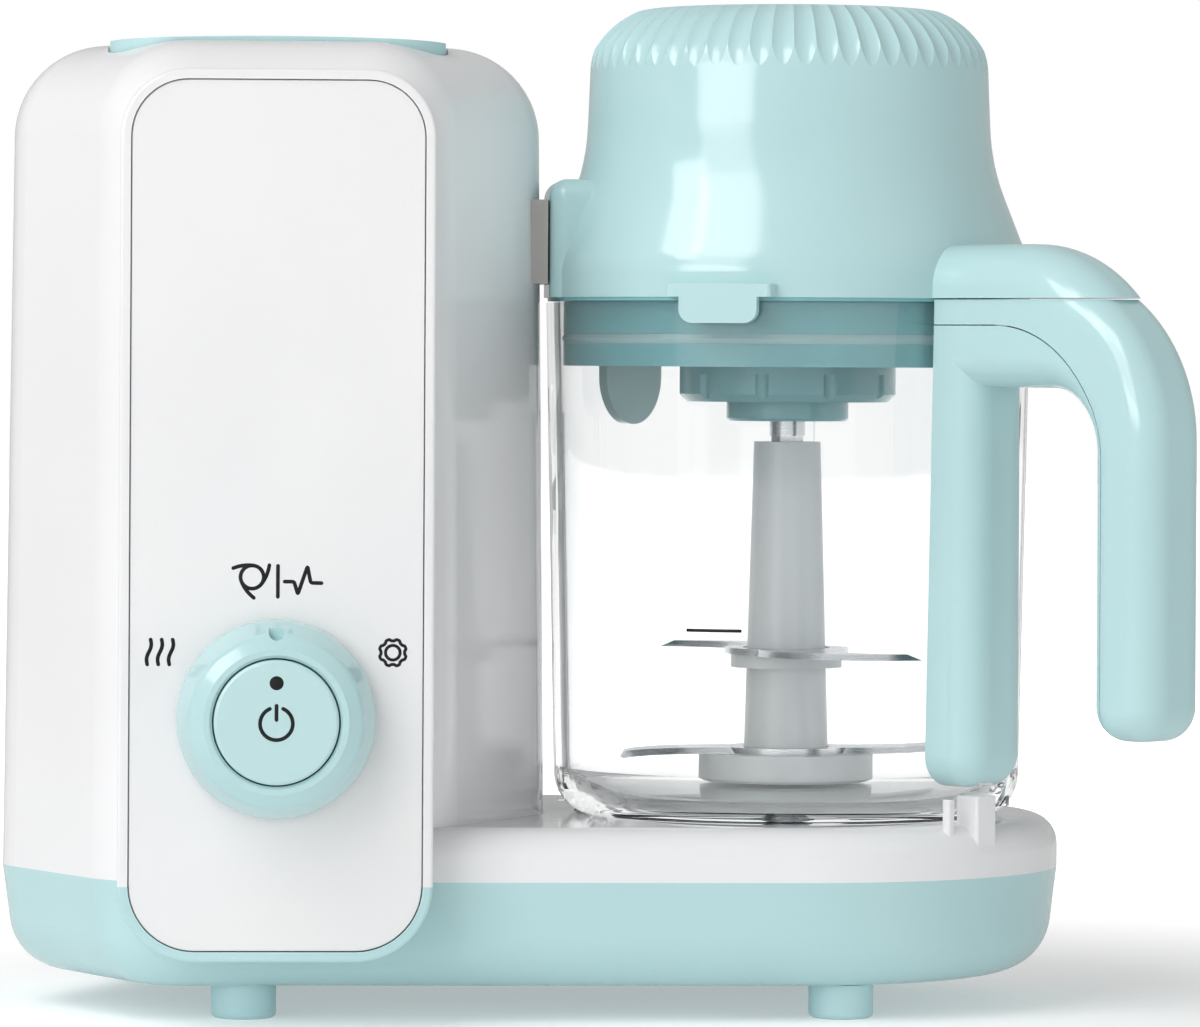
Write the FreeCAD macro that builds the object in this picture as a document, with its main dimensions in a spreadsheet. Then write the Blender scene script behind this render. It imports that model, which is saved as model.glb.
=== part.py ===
import FreeCAD, Part
import Sketcher
import math
import os

# Baby food maker: steam tower and deck on a tub, a clear jug with its blade, a lid that holds the motor.
# Millimetres, +Z up, origin under the middle of the whole machine, -Y towards the user.

# Driving sizes
SIZES = {
    # Places of the two upright axes
    "jug_x": 46.8,
    "jug_y": 15,
    "tower_pitch": 115,
    # Housing heights
    "floor_z": 7.5,
    "seam_z": 31,
    "deck_z": 42.5,
    "tower_top_z": 213.2,
    # Housing plan and skin
    "wall": 2.6,
    "cutter_run": 5,
    "base_half_depth": 61,
    "tower_front_x": 33.5,
    "tower_side_x": 62.8,
    "tower_side_y": 6,
    "tower_back_x": 38,
    "tower_draft": 0.6,
    "tub_draft": 7,
    "side_corner_r": 26,
    "end_corner_r": 22,
    "shoulder_r": 20.5,
    "inner_shoulder_r": 10,
    "deck_edge_r": 6.5,
    "tub_edge_r": 13,
    # Front pad and control panel
    "pad_front": 74,
    "pad_root": 50,
    "pad_rim": 2.2,
    "pad_edge_r": 0.8,
    "panel_width": 62.4,
    "panel_bottom_z": 17.4,
    "panel_top_z": 203.2,
    "panel_top_r": 12,
    "panel_bottom_r": 14,
    "panel_thick": 2.4,
    "panel_sink": 0.4,
    "panel_gap": 0.3,
    "panel_ledge": 4,
    "well_root": 50,
    "post_r": 2.5,
    "post_height": 10.6,
    # Dial and power button
    "dial_z": 67,
    "dial_r": 21.2,
    "dial_height": 16.6,
    "dial_gap": 0.4,
    "dial_bore_r": 13.6,
    "dial_bore_depth": 10,
    "dial_foot_edge": 1.2,
    "dial_side": 5.3,
    "dial_side_r": 7,
    "dial_crest": 14.3,
    "dial_crest_out": 5,
    "dial_crest_r": 3,
    "dial_rim": 1.8,
    "dial_rim_edge": 0.6,
    "sleeve_r": 8,
    "sleeve_wall": 2.8,
    "sleeve_length": 8,
    "notch_width": 3.4,
    "notch_reach": 4,
    "notch_floor": 10.3,
    "button_gap": 0.35,
    "button_height": 7.4,
    "button_proud": 0.7,
    "button_stem": 20.2,
    "button_edge_r": 0.8,
    "switch_side": 26,
    "switch_depth": 7,
    "press_side": 6,
    "press_height": 1,
    "board_width": 48,
    "board_height": 80,
    "board_thick": 1.6,
    "case_corner_r": 2,
    # Water tank and its lid
    "lid_width": 74,
    "lid_depth": 78,
    "lid_corner_r": 14,
    "lid_proud": 0.2,
    "lid_gap": 0.5,
    "recess_z": 207.7,
    "mouth_half": 31,
    "tank_wall": 2,
    "tank_bottom_z": 126,
    "tank_corner_r": 8,
    "seal_width": 3,
    "seal_depth": 3,
    "lid_crown": 0.9,
    "lid_notch_r": 9,
    "lid_notch_depth": 3,
    "hinge_grip": 4,
    "hinge_r": 2.2,
    "hinge_pin_r": 1.1,
    "hinge_width": 40,
    # Steam works
    "boiler_r": 26,
    "boiler_height": 44,
    "boiler_z": 66,
    "boiler_flange": 8,
    "boiler_step": 4,
    "boiler_slope": 6,
    "stand_wall": 3,
    "window_low": 8,
    "window_high": 12,
    "pipe_r": 3.5,
    "pipe_wall": 1,
    "pipe_x": 45,
    "pipe_bend_r": 8,
    "spout_wall": 2,
    "spout_depth": 6,
    "outlet_z": 98,
    "steam_z": 172,
    "coupling_bottom_z": 160.7,
    "coupling_top_z": 179.4,
    "coupling_width": 30,
    "coupling_root": 50,
    "coupling_gap": 0.35,
    "coupling_rim": 2,
    "contact_r": 1.2,
    "contact_pitch": 4.5,
    # Feet, screws, power inlet and interlock switch
    "foot_r": 7.1,
    "foot_edge_r": 1.2,
    "foot_half_pitch": 65.4,
    "foot_middle": 56.2,
    "foot_y": 40,
    "screw_r": 1.6,
    "screw_head_r": 3.2,
    "screw_head": 2.5,
    "screw_length": 16,
    "screw_seat_z": 21,
    "screw_deck_x": 10,
    "screw_deck_y": 40,
    "screw_tower_x": 22,
    "screw_tower_y": 44,
    "boss_r": 5,
    "boss_top_z": 45,
    "boss_rib": 3,
    "inlet_width": 20,
    "inlet_height": 12,
    "inlet_z": 19,
    "inlet_back": 59.5,
    "inlet_depth": 14,
    "inlet_wall": 2.2,
    "inlet_pin_r": 1.2,
    "inlet_pin_pitch": 8.6,
    "interlock_at": 47,
    "interlock_length": 14,
    "interlock_width": 9,
    "interlock_height": 8,
    # Jug
    "jug_rim_z": 156.6,
    "jug_top_r": 54.4,
    "jug_bottom_r": 52,
    "jug_wall": 3,
    "jug_floor": 4.5,
    "jug_corner_r": 10,
    "seat_depth": 1.2,
    "seat_r": 47.6,
    "seat_gap": 0.2,
    "rib_depth": 3.2,
    "rib_width": 3.4,
    "rib_top_z": 132,
    "rib_pitch": 100,
    "pivot_seat": 3.5,
    "pivot_r": 4,
    "pivot_top_z": 66,
    # Handle
    "handle_angle": -48,
    "handle_width": 20,
    "handle_inner_r": 64.5,
    "handle_grip_r": 97,
    "handle_outer_r": 115.1,
    "handle_top_z": 157.4,
    "handle_seam_z": 151.7,
    "handle_gap_z": 138.3,
    "handle_gap_r": 14,
    "handle_arch_r": 37.3,
    "handle_arch_z": 127,
    "handle_foot_z": 50.8,
    "grip_foot_z": 62.8,
    "handle_edge_r": 6.8,
    "handle_end_r": 7.4,
    "handle_seam_r": 30,
    "grip_liner": 4,
    "split_gap": 0.25,
    "key_at": 57.5,
    "key_side": 6.4,
    "key_thin_side": 2.2,
    "key_pitch": 9,
    "key_drop": 2,
    "key_thin_drop": 2.6,
    "key_edge_r": 0.7,
    "rod_r": 2.2,
    "rod_at": 58.2,
    "rod_gap": 0.4,
    "rod_throw": 4,
    # Lid and dome
    "lid_seam_z": 157.7,
    "flange_thick": 0.8,
    "rim_gap": 0.3,
    "dome_top_z": 223.2,
    "dome_r": 45.6,
    "dome_top_r": 44.2,
    "dome_drop": 1,
    "dome_shoulder_r": 14,
    "waist_z": 188,
    "skirt_top_z": 165.5,
    "skirt_r": 54.4,
    "flare_r": 12,
    "waist_r": 48,
    "dome_wall": 2.6,
    "flute_count": 56,
    "flute_r": 4,
    "flute_depth": 0.62,
    "flute_shift": 4,
    "ear_width": 21,
    "ear_top_z": 169.5,
    "ear_tip_r": 100.6,
    "ear_bend_r": 74,
    "ear_edge_r": 9,
    "lid_contact_depth": 3,
    "tower_ear_reach": 54.45,
    "tower_ear_width": 34,
    "tower_ear_top_z": 184,
    "tower_ear_edge_r": 4,
    "tab_angle": -110,
    "tab_width": 24,
    "tab_lip": 2.8,
    "tab_reach": 57.6,
    "tab_edge_r": 1,
    "flap_width": 17.6,
    "flap_bottom_z": 152,
    "flap_thick": 2.2,
    "flap_corner_r": 3,
    # Plug of the lid and its shaft fittings
    "plug_r": 50.5,
    "plug_bottom_z": 142.5,
    "plug_floor": 2.5,
    "plug_wall": 2.6,
    "groove_bottom_z": 147.5,
    "groove_top_z": 149.7,
    "groove_depth": 2,
    "gasket_proud": 0.3,
    "gasket_bevel": 0.5,
    "nut_r": 24.3,
    "nut_bottom_z": 134.6,
    "nut_chamfer": 1.7,
    "nut_notches": 10,
    "notch_r": 1.6,
    "carrier_r": 13.7,
    "carrier_bottom_z": 130.3,
    "carrier_flange_r": 18,
    "carrier_edge": 0.6,
    "seal_lip": 2,
    "seal_lift": 1,
    "seal_height": 6,
    "fit_gap": 0.3,
    "shaft_r": 4,
    "shaft_bottom_z": 115,
    "shaft_top_z": 209,
    "drive_hex_r": 3.6,
    "drive_gap": 0.5,
    "drive_depth": 12.7,
    "hex_rise": 1.3,
    "deflector_width": 22,
    "deflector_bottom_z": 129.1,
    "deflector_at": 45,
    "deflector_angle": 142,
    "deflector_thick": 2.4,
    # Motor
    "can_r": 23,
    "magnet_gap": 0.8,
    "magnet_split": 14,
    "can_wall": 1.4,
    "can_top_z": 194,
    "cap_thick": 4,
    "bush_r": 7.5,
    "bush_length": 6,
    "bush_flange_r": 10,
    "bush_flange": 1.5,
    "armature_r": 18,
    "armature_z": 158.8,
    "armature_length": 28,
    "winding_r": 13,
    "winding_length": 4,
    "armature_slots": 8,
    "slot_width": 2.4,
    "slot_depth": 5,
    "fan_r": 20,
    "fan_hub_r": 7,
    "fan_lift": 2.5,
    "fan_height": 7,
    "fan_blades": 9,
    "fan_blade_thick": 1.2,
    # Blade, with the outline of its wings as shares of their reach
    "hub_r": 7.5,
    "hub_root_r": 9.5,
    "hub_top_z": 125.6,
    "hub_disc_r": 19.6,
    "hub_disc_height": 9,
    "hub_lift": 0.8,
    "collar_r": 12.5,
    "collar_height": 3,
    "blade_r": 44.5,
    "blade_root": 8,
    "blade_root_x": 12,
    "blade_lead_y": 0.4,
    "blade_trail_x": 0.353,
    "blade_trail_y": 0.665,
    "blade_tip_x": 0.83,
    "blade_tip_y": 0.55,
    "blade_ring_r": 14,
    "blade_thick": 1.4,
    "blade_grind": 30,
    "upper_blade_r": 41,
    "upper_blade_z": 78,
}


class Size:
    """A size known both as a number and as the sheet expression that drives it."""

    def __init__(self, number, text):
        self.number = number
        self.text = text

    def __add__(self, other):
        return Size(self.number + number(other), f"({self.text} + {text(other)})")

    def __radd__(self, other):
        return Size(number(other) + self.number, f"({text(other)} + {self.text})")

    def __sub__(self, other):
        return Size(self.number - number(other), f"({self.text} - {text(other)})")

    def __rsub__(self, other):
        return Size(number(other) - self.number, f"({text(other)} - {self.text})")

    def __mul__(self, other):
        return Size(self.number * number(other), f"({self.text} * {text(other)})")

    def __rmul__(self, other):
        return Size(number(other) * self.number, f"({text(other)} * {self.text})")

    def __truediv__(self, other):
        return Size(self.number / number(other), f"({self.text} / {text(other)})")

    def __neg__(self):
        return Size(-self.number, f"(0 - {self.text})")


class Free:
    """A coordinate that the neighbouring arc settles, with a starting value."""

    def __init__(self, start):
        self.start = start


def number(value):
    if isinstance(value, Free):
        return number(value.start)
    return value.number if isinstance(value, Size) else float(value)


def text(value):
    return value.text if isinstance(value, Size) else f"{float(value):.6f}"


doc = FreeCAD.newDocument("baby_food_maker")
sheet = doc.addObject("Spreadsheet::Sheet", "Sizes")
for row, (name, value) in enumerate(SIZES.items(), start=1):
    sheet.set(f"A{row}", name)
    sheet.set(f"B{row}", str(value))
    sheet.setAlias(f"B{row}", name)
doc.recompute()


class Sheet:
    """The sheet's sizes by name."""

    def __getattr__(self, name):
        return Size(float(SIZES[name]), f"Sizes.{name}")


S = Sheet()
NODES = {}


# Helpers: binding and placing
def bind(target, path, value):
    """Sets a property to a number, and to the sheet's expression where there is one."""
    if "." not in path:
        setattr(target, path, number(value))
    if isinstance(value, Size):
        target.setExpression(path, value.text)


def place(target, x=0, y=0, z=0, axis=None, angle=0):
    turn = FreeCAD.Rotation(FreeCAD.Vector(*axis), number(angle)) if axis else FreeCAD.Rotation()
    target.Placement = FreeCAD.Placement(FreeCAD.Vector(number(x), number(y), number(z)), turn)
    for letter, value in zip("xyz", (x, y, z)):
        bind(target, f"Placement.Base.{letter}", value)
    if isinstance(angle, Size):
        target.setExpression("Placement.Rotation.Angle", angle.text)
    return target


def node(name, target):
    """Names a finished sub-part."""
    target.Label = name
    NODES[name] = target
    return target


# Helpers: bodies, sketches and features
def new_body(name):
    return doc.addObject("PartDesign::Body", name)


def new_sketch(body, plane, lift=0):
    sketch = body.newObject("Sketcher::SketchObject", f"{body.Name}_outline")
    support = next(f for f in body.Origin.OriginFeatures if f.Role == plane)
    sketch.AttachmentSupport = [(support, "")]
    sketch.MapMode = "FlatFace"
    sketch.AttachmentOffset = FreeCAD.Placement(
        FreeCAD.Vector(0, 0, number(lift)), FreeCAD.Rotation())
    bind(sketch, "AttachmentOffset.Base.z", lift)
    return sketch


def flat(point):
    return FreeCAD.Vector(number(point[0]), number(point[1]), 0)


def drive_rules(sketch, drivers):
    for rule, value in drivers:
        if isinstance(value, Size):
            sketch.setExpression(f"Constraints[{rule}]", value.text)


def draw(sketch, points, arcs=None, closed=True):
    """Draws an outline or an open path; arcs gives the centre of each segment that is round."""
    arcs = arcs or {}
    starts, ends, rules, drivers = [], [], [], []
    count = len(points)
    runs = count if closed else count - 1
    for index in range(runs):
        start = flat(points[index])
        end = flat(points[(index + 1) % count])
        if index not in arcs:
            edge = Part.LineSegment(start, end)
            starts.append(1)
            ends.append(2)
        else:
            centre = flat(arcs[index])
            first = math.atan2(start.y - centre.y, start.x - centre.x)
            last = math.atan2(end.y - centre.y, end.x - centre.x)
            forward = (last - first) % (2 * math.pi) < math.pi + 1e-6
            circle = Part.Circle(centre, FreeCAD.Vector(0, 0, 1), start.distanceToPoint(centre))
            edge = Part.ArcOfCircle(circle, *((first, last) if forward else (last, first)))
            starts.append(1 if forward else 2)
            ends.append(2 if forward else 1)
        sketch.addGeometry(edge, False)

    def fix(geometry, spot, point):
        for kind, value in zip(("DistanceX", "DistanceY"), point):
            if not isinstance(value, Free):
                drivers.append((len(rules), value))
                rules.append(Sketcher.Constraint(kind, -1, 1, geometry, spot, number(value)))

    for index in range(runs if closed else runs - 1):
        after = (index + 1) % count
        rules.append(Sketcher.Constraint("Coincident", index, ends[index], after, starts[after]))
    for index in range(runs):
        fix(index, starts[index], points[index])
        if index in arcs:
            fix(index, 3, arcs[index])
    if not closed:
        fix(runs - 1, ends[-1], points[-1])
    sketch.addConstraint(rules)
    drive_rules(sketch, drivers)
    return sketch


def draw_circle(sketch, x, y, radius):
    centre = FreeCAD.Vector(number(x), number(y), 0)
    sketch.addGeometry(Part.Circle(centre, FreeCAD.Vector(0, 0, 1), number(radius)), False)
    sketch.addConstraint([
        Sketcher.Constraint("DistanceX", -1, 1, 0, 3, number(x)),
        Sketcher.Constraint("DistanceY", -1, 1, 0, 3, number(y)),
        Sketcher.Constraint("Radius", 0, number(radius)),
    ])
    drive_rules(sketch, enumerate((x, y, radius)))
    return sketch


def extrude(body, sketch, length, kind="Pad", taper=0, both=False, back=False):
    feature = body.newObject(f"PartDesign::{kind}", f"{body.Name}_{kind.lower()}")
    feature.Profile = sketch
    bind(feature, "Length", length)
    if number(taper):
        bind(feature, "TaperAngle", taper)
    if both:
        feature.SideType = "Symmetric"
    feature.Reversed = back
    doc.recompute()
    return feature


def pad(name, plane, lift, points, length, arcs=None, **options):
    """A body padded from one closed outline."""
    body = new_body(name)
    extrude(body, draw(new_sketch(body, plane, lift), points, arcs), length, **options)
    return body


def spin(name, points, arcs=None):
    """A body turned about the upright axis from its half section of (radius, height) points."""
    body = new_body(name)
    sketch = draw(new_sketch(body, "XZ_Plane"), points, arcs)
    feature = body.newObject("PartDesign::Revolution", f"{name}_turned")
    feature.Profile = sketch
    feature.ReferenceAxis = (sketch, ["V_Axis"])
    feature.Angle = 360
    doc.recompute()
    return body


def edges_where(shape, test):
    return [f"Edge{i}" for i, edge in enumerate(shape.Edges, start=1) if test(edge)]


def round_edges(body, radius, test, kind="Fillet"):
    """Rounds or chamfers the edges of the body's last feature that pass the test."""
    base = body.Tip
    names = edges_where(base.Shape, test)
    if not names:
        raise RuntimeError(f"{body.Name}: no edge to round")
    feature = body.newObject(f"PartDesign::{kind}", f"{body.Name}_{kind.lower()}")
    feature.Base = (base, names)
    bind(feature, "Radius" if kind == "Fillet" else "Size", radius)
    doc.recompute()
    if "Invalid" in feature.State or feature.Shape.isNull():
        raise RuntimeError(f"{body.Name}: {kind} of {number(radius)} failed")
    return feature


def ring_at(radius, height):
    """Test for the round edge of a turned body at this radius and height."""
    def test(edge):
        curve = edge.Curve
        if not isinstance(curve, Part.Circle):
            return False
        return (abs(curve.Radius - number(radius)) < 0.01
                and abs(curve.Center.z - number(height)) < 0.01)
    return test


def runs_along(axis, *spots):
    """Test for straight edges along an axis through given spots of the other two coordinates."""
    others = [i for i in range(3) if i != axis]

    def test(edge):
        ends = [v.Point for v in edge.Vertexes]
        if len(ends) != 2 or not isinstance(edge.Curve, Part.Line):
            return False
        run = ends[1] - ends[0]
        if run.Length < 1e-6 or abs(run[axis]) < 0.95 * run.Length:
            return False
        middle = (ends[0] + ends[1]) * 0.5
        return any(abs(middle[others[0]] - number(a)) < 0.05 and abs(middle[others[1]] - number(b)) < 0.05
                   for a, b in spots)
    return test


def fuse(name, *members):
    joined = doc.addObject("Part::MultiFuse", name)
    joined.Shapes = list(members)
    joined.Refine = True
    doc.recompute()
    return joined


def cut(name, base, *tools):
    result = doc.addObject("Part::Cut", name)
    result.Base = base
    result.Tool = tools[0] if len(tools) == 1 else fuse(f"{name}_tools", *tools)
    result.Refine = True
    doc.recompute()
    return result


def common(name, first, second):
    result = doc.addObject("Part::Common", name)
    result.Base = first
    result.Tool = second
    doc.recompute()
    return result


def group(name, members):
    """Separate like solids kept as one sub-part."""
    together = doc.addObject("Part::Compound", name)
    together.Links = list(members)
    doc.recompute()
    return together


def block(name, x, y, z, length, width, height):
    solid = doc.addObject("Part::Box", name)
    for prop, value in zip(("Length", "Width", "Height"), (length, width, height)):
        bind(solid, prop, value)
    place(solid, x, y, z)
    doc.recompute()
    return solid


def rod(name, x, y, z, radius, height, axis=None, angle=0):
    solid = doc.addObject("Part::Cylinder", name)
    bind(solid, "Radius", radius)
    bind(solid, "Height", height)
    place(solid, x, y, z, axis, angle)
    doc.recompute()
    return solid


TOWER_X = S.jug_x - S.tower_pitch


# Housing forms
def square_about(x, y, half):
    return [(x - half, y - half), (x + half, y - half), (x + half, y + half), (x - half, y + half)]


def base_plan(inset):
    """Outline of the tub and deck: tower corners at one end, a half circle round the jug at the other."""
    half = S.base_half_depth - inset
    points = [
        (-(S.tower_front_x - inset), -half),
        (S.tower_pitch, -half),
        (S.tower_pitch, Free(half)),
        (-(S.tower_back_x - inset), half),
        (-(S.tower_side_x - inset), -S.tower_side_y),
    ]
    return points, {1: (S.tower_pitch, 0)}


def tower_plan(inset):
    half = S.base_half_depth - inset
    right = [
        (S.tower_front_x - inset, -half),
        (S.tower_side_x - inset, -S.tower_side_y),
        (S.tower_back_x - inset, half),
    ]
    return right + [(-x, y) for x, y in reversed(right)]


def steep(edge):
    """True for the upright edges of a drafted form."""
    ends = [v.Point for v in edge.Vertexes]
    return len(ends) == 2 and abs(ends[1].z - ends[0].z) > 0.85 * edge.Length


def at_side(edge):
    """True on the two widest corners of the tower."""
    return abs(edge.CenterOfMass.x) > 0.8 * number(S.tower_side_x)


def level(height):
    """Test for edges that lie flat at a height."""
    def test(edge):
        box = edge.BoundBox
        return abs(box.ZMin - number(height)) < 0.01 and abs(box.ZMax - number(height)) < 0.01
    return test


def tower_form(name, inset, top_z, shoulder_r):
    """The tower with drafted sides, rounded corners and a softly rounded top."""
    body = new_body(name)
    sketch = draw(new_sketch(body, "XY_Plane", S.seam_z), tower_plan(inset))
    extrude(body, sketch, top_z - S.seam_z, taper=-S.tower_draft)
    round_edges(body, S.side_corner_r - inset, lambda edge: steep(edge) and at_side(edge))
    ends = number(S.base_half_depth) * 0.85
    round_edges(body, S.end_corner_r - inset,
                lambda edge: steep(edge) and abs(edge.CenterOfMass.y) > ends)
    round_edges(body, shoulder_r, level(top_z))
    return place(body, TOWER_X, S.jug_y)


def deck_form(name, inset, top_z):
    """The low deck under the jug, with a rounded upper edge."""
    half = S.base_half_depth - inset
    points = [(0, -half), (S.tower_pitch, -half), (S.tower_pitch, Free(half)), (0, half)]
    body = pad(name, "XY_Plane", S.seam_z, points, top_z - S.seam_z, {1: (S.tower_pitch, 0)})
    at_top = level(top_z)
    round_edges(body, S.deck_edge_r - inset,
                lambda edge: at_top(edge) and abs(edge.CenterOfMass.x) > 1)
    return place(body, TOWER_X, S.jug_y)


def tub_form(name, inset, bottom_z):
    """The tub below the seam, drawn in towards a rounded underside."""
    points, arcs = base_plan(inset)
    body = new_body(name)
    sketch = draw(new_sketch(body, "XY_Plane", S.seam_z), points, arcs)
    extrude(body, sketch, S.seam_z - bottom_z, taper=-S.tub_draft, back=True)
    round_edges(body, S.side_corner_r - inset, lambda edge: steep(edge) and edge.CenterOfMass.x < 0
                and at_side(edge))
    round_edges(body, S.end_corner_r - inset, lambda edge: steep(edge) and edge.CenterOfMass.x < 0
                and not at_side(edge) and abs(edge.CenterOfMass.y) > 0.8 * number(S.base_half_depth))
    round_edges(body, S.tub_edge_r - inset, level(bottom_z))
    return place(body, TOWER_X, S.jug_y)


def slab(name, half_width, low_z, high_z, back_y, front_y, low_r=0, high_r=0):
    """An upright plate facing the user, with its own radius on the lower and the upper corners."""
    corners = [(-half_width, low_z), (half_width, low_z), (half_width, high_z), (-half_width, high_z)]
    body = pad(name, "XZ_Plane", back_y, corners, front_y - back_y)
    for radius, height in ((low_r, low_z), (high_r, high_z)):
        if number(radius):
            spots = ((half_width, height), (-half_width, height))
            round_edges(body, radius, runs_along(1, *spots))
    return place(body, TOWER_X, S.jug_y)


# Housings
PANEL_HALF = S.panel_width / 2
PANEL_BACK = S.pad_front - S.panel_sink - S.panel_thick
PAD_HALF = PANEL_HALF + S.panel_gap + S.pad_rim
PAD_MARGIN = S.panel_gap + S.pad_rim
MOUTH_Y = S.jug_y + 1
LID_BACK = S.lid_depth / 2
HINGE_Y = MOUTH_Y + LID_BACK - S.hinge_r
HINGE_Z = S.tower_top_z + S.lid_proud - S.hinge_r
COUPLING_END = S.tower_pitch - S.tower_ear_reach - S.coupling_gap
SCREW_TOP_Z = S.screw_seat_z + S.screw_length
SCREW_SPOTS = [(S.jug_x - S.screw_deck_x, S.jug_y + side * S.screw_deck_y) for side in (-1, 1)]
SCREW_SPOTS += [(TOWER_X + side * S.screw_tower_x, S.jug_y + S.screw_tower_y) for side in (-1, 1)]


def panel_cutters(name):
    """The recess that takes the panel and the well behind it."""
    gap = S.panel_gap
    recess = slab(f"{name}_recess", PANEL_HALF + gap, S.panel_bottom_z - gap, S.panel_top_z + gap,
                  PANEL_BACK, S.pad_front + 2, S.panel_bottom_r + gap, S.panel_top_r + gap)
    ledge = S.panel_ledge
    well = slab(f"{name}_well", PANEL_HALF - ledge, S.panel_bottom_z + ledge, S.panel_top_z - ledge,
                S.well_root, S.pad_front, S.panel_bottom_r - ledge, S.panel_top_r - ledge)
    return recess, well


def rest_box(name, half_x, half_y, low_z, high_z, corner_r):
    """An upright rounded block about the water tank's axis."""
    points = [(-half_x, -half_y), (half_x, -half_y), (half_x, half_y), (-half_x, half_y)]
    body = pad(name, "XY_Plane", low_z, points, high_z - low_z)
    round_edges(body, corner_r, runs_along(2, *points))
    return place(body, TOWER_X, MOUTH_Y)


def front_pad():
    """The raised pad round the panel, as its parts above and below the seam."""
    whole = slab("front_pad", PAD_HALF, S.panel_bottom_z - PAD_MARGIN, S.panel_top_z + PAD_MARGIN,
                 S.pad_root, S.pad_front, S.panel_bottom_r + PAD_MARGIN, S.panel_top_r + PAD_MARGIN)
    face = -number(S.pad_front)
    round_edges(whole, S.pad_edge_r, lambda edge: edge.BoundBox.YMax < face + 0.01)
    below = block("below_seam", TOWER_X - S.pad_front, S.jug_y - 2 * S.pad_front, 0,
                  2 * S.pad_front, 2 * S.pad_front, S.seam_z)
    return cut("upper_pad", whole, below), common("lower_pad", whole, below)


def upper_housing(front):
    tower = tower_form("tower_skin", 0, S.tower_top_z, S.shoulder_r)
    deck = deck_form("deck_skin", 0, S.deck_z)
    keys = interlock_keys()
    skin = fuse("upper_skin", tower, deck, front, *keys)
    recess, well = panel_cutters("upper")
    coupling_hole = block("coupling_hole", TOWER_X + S.coupling_root, S.jug_y - S.coupling_width / 2,
                          S.coupling_bottom_z, S.tower_pitch, S.coupling_width,
                          S.coupling_top_z - S.coupling_bottom_z)
    tools = (
        tower_form("tower_core", S.wall, S.recess_z - S.wall, S.inner_shoulder_r),
        deck_form("deck_core", S.wall, S.deck_z - S.seat_depth - S.wall),
        recess,
        well,
        rest_box("lid_recess", S.lid_width / 2 + S.lid_gap, S.lid_depth / 2 + S.lid_gap, S.recess_z,
                 S.tower_top_z + S.cutter_run, S.lid_corner_r + S.lid_gap),
        rest_box("tank_mouth", S.mouth_half, S.mouth_half, S.recess_z - 2 * S.wall, S.recess_z + S.cutter_run,
                 S.tank_corner_r),
        rod("jug_seat", S.jug_x, S.jug_y, S.deck_z - S.seat_depth, S.seat_r, S.cutter_run),
        coupling_hole,
    )
    shell = fuse("upper_shell", cut("upper_open", skin, *tools), *lid_knuckles(), *upper_bosses())
    pin_hole = rod("knuckle_hole", TOWER_X - S.lid_width / 2, HINGE_Y, HINGE_Z, S.hinge_pin_r, S.lid_width,
                   (0, 1, 0), 90)
    hole_depth = SCREW_TOP_Z + S.fit_gap - S.seam_z
    screw_holes = [rod("boss_hole", x, y, S.seam_z, S.screw_r + S.fit_gap, hole_depth)
                   for x, y in SCREW_SPOTS]
    node("upper_housing", cut("upper_housing", shell, pin_hole, *screw_holes))


def upper_bosses():
    """The bosses that take the base screws; those in the tower are tied to its back wall."""
    bosses = []
    deck_height = S.deck_z - S.seat_depth - S.wall / 2 - S.seam_z
    for x, y in SCREW_SPOTS[:2]:
        bosses.append(rod("deck_boss", x, y, S.seam_z, S.boss_r, deck_height))
    for x, y in SCREW_SPOTS[2:]:
        bosses.append(rod("tower_boss", x, y, S.seam_z, S.boss_r, S.boss_top_z - S.seam_z))
        bosses.append(block("boss_tie", x - S.boss_rib / 2, y, S.seam_z, S.boss_rib,
                            S.base_half_depth - S.wall / 2 - S.screw_tower_y, S.boss_top_z - S.seam_z))
    return bosses


def lid_knuckles():
    """The two knuckles that hold the pin of the tank lid."""
    members = []
    for side in (-1, 1):
        near = side * (S.hinge_width / 2 + S.lid_gap)
        low = near if side > 0 else near - S.hinge_grip
        members.append(rod("knuckle", TOWER_X + low, HINGE_Y, HINGE_Z, S.hinge_r, S.hinge_grip,
                           (0, 1, 0), 90))
        members.append(block("knuckle_foot", TOWER_X + low, HINGE_Y - S.hinge_r, S.recess_z - S.wall / 2,
                             S.hinge_grip, 2 * S.hinge_r, HINGE_Z - S.recess_z + S.wall / 2))
    return members


def at_handle(body):
    """Turns a body from the jug's own axes to the handle's direction."""
    return place(body, S.jug_x, S.jug_y, 0, (0, 0, 1), S.handle_angle)


def interlock_keys():
    """A wide and a thin key at the rim of the deck, under the foot of the handle."""
    low_z = S.seam_z + S.wall
    keys = []
    for name, offset, side, drop in (
        ("key_wide", 0, S.key_side, S.key_drop),
        ("key_thin", -S.key_pitch, S.key_thin_side, S.key_thin_drop),
    ):
        key = pad(name, "XY_Plane", low_z, square_about(S.key_at, offset, side / 2),
                  S.handle_foot_z - drop - low_z)
        round_edges(key, S.key_edge_r, steep)
        keys.append(at_handle(key))
    return keys


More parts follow.
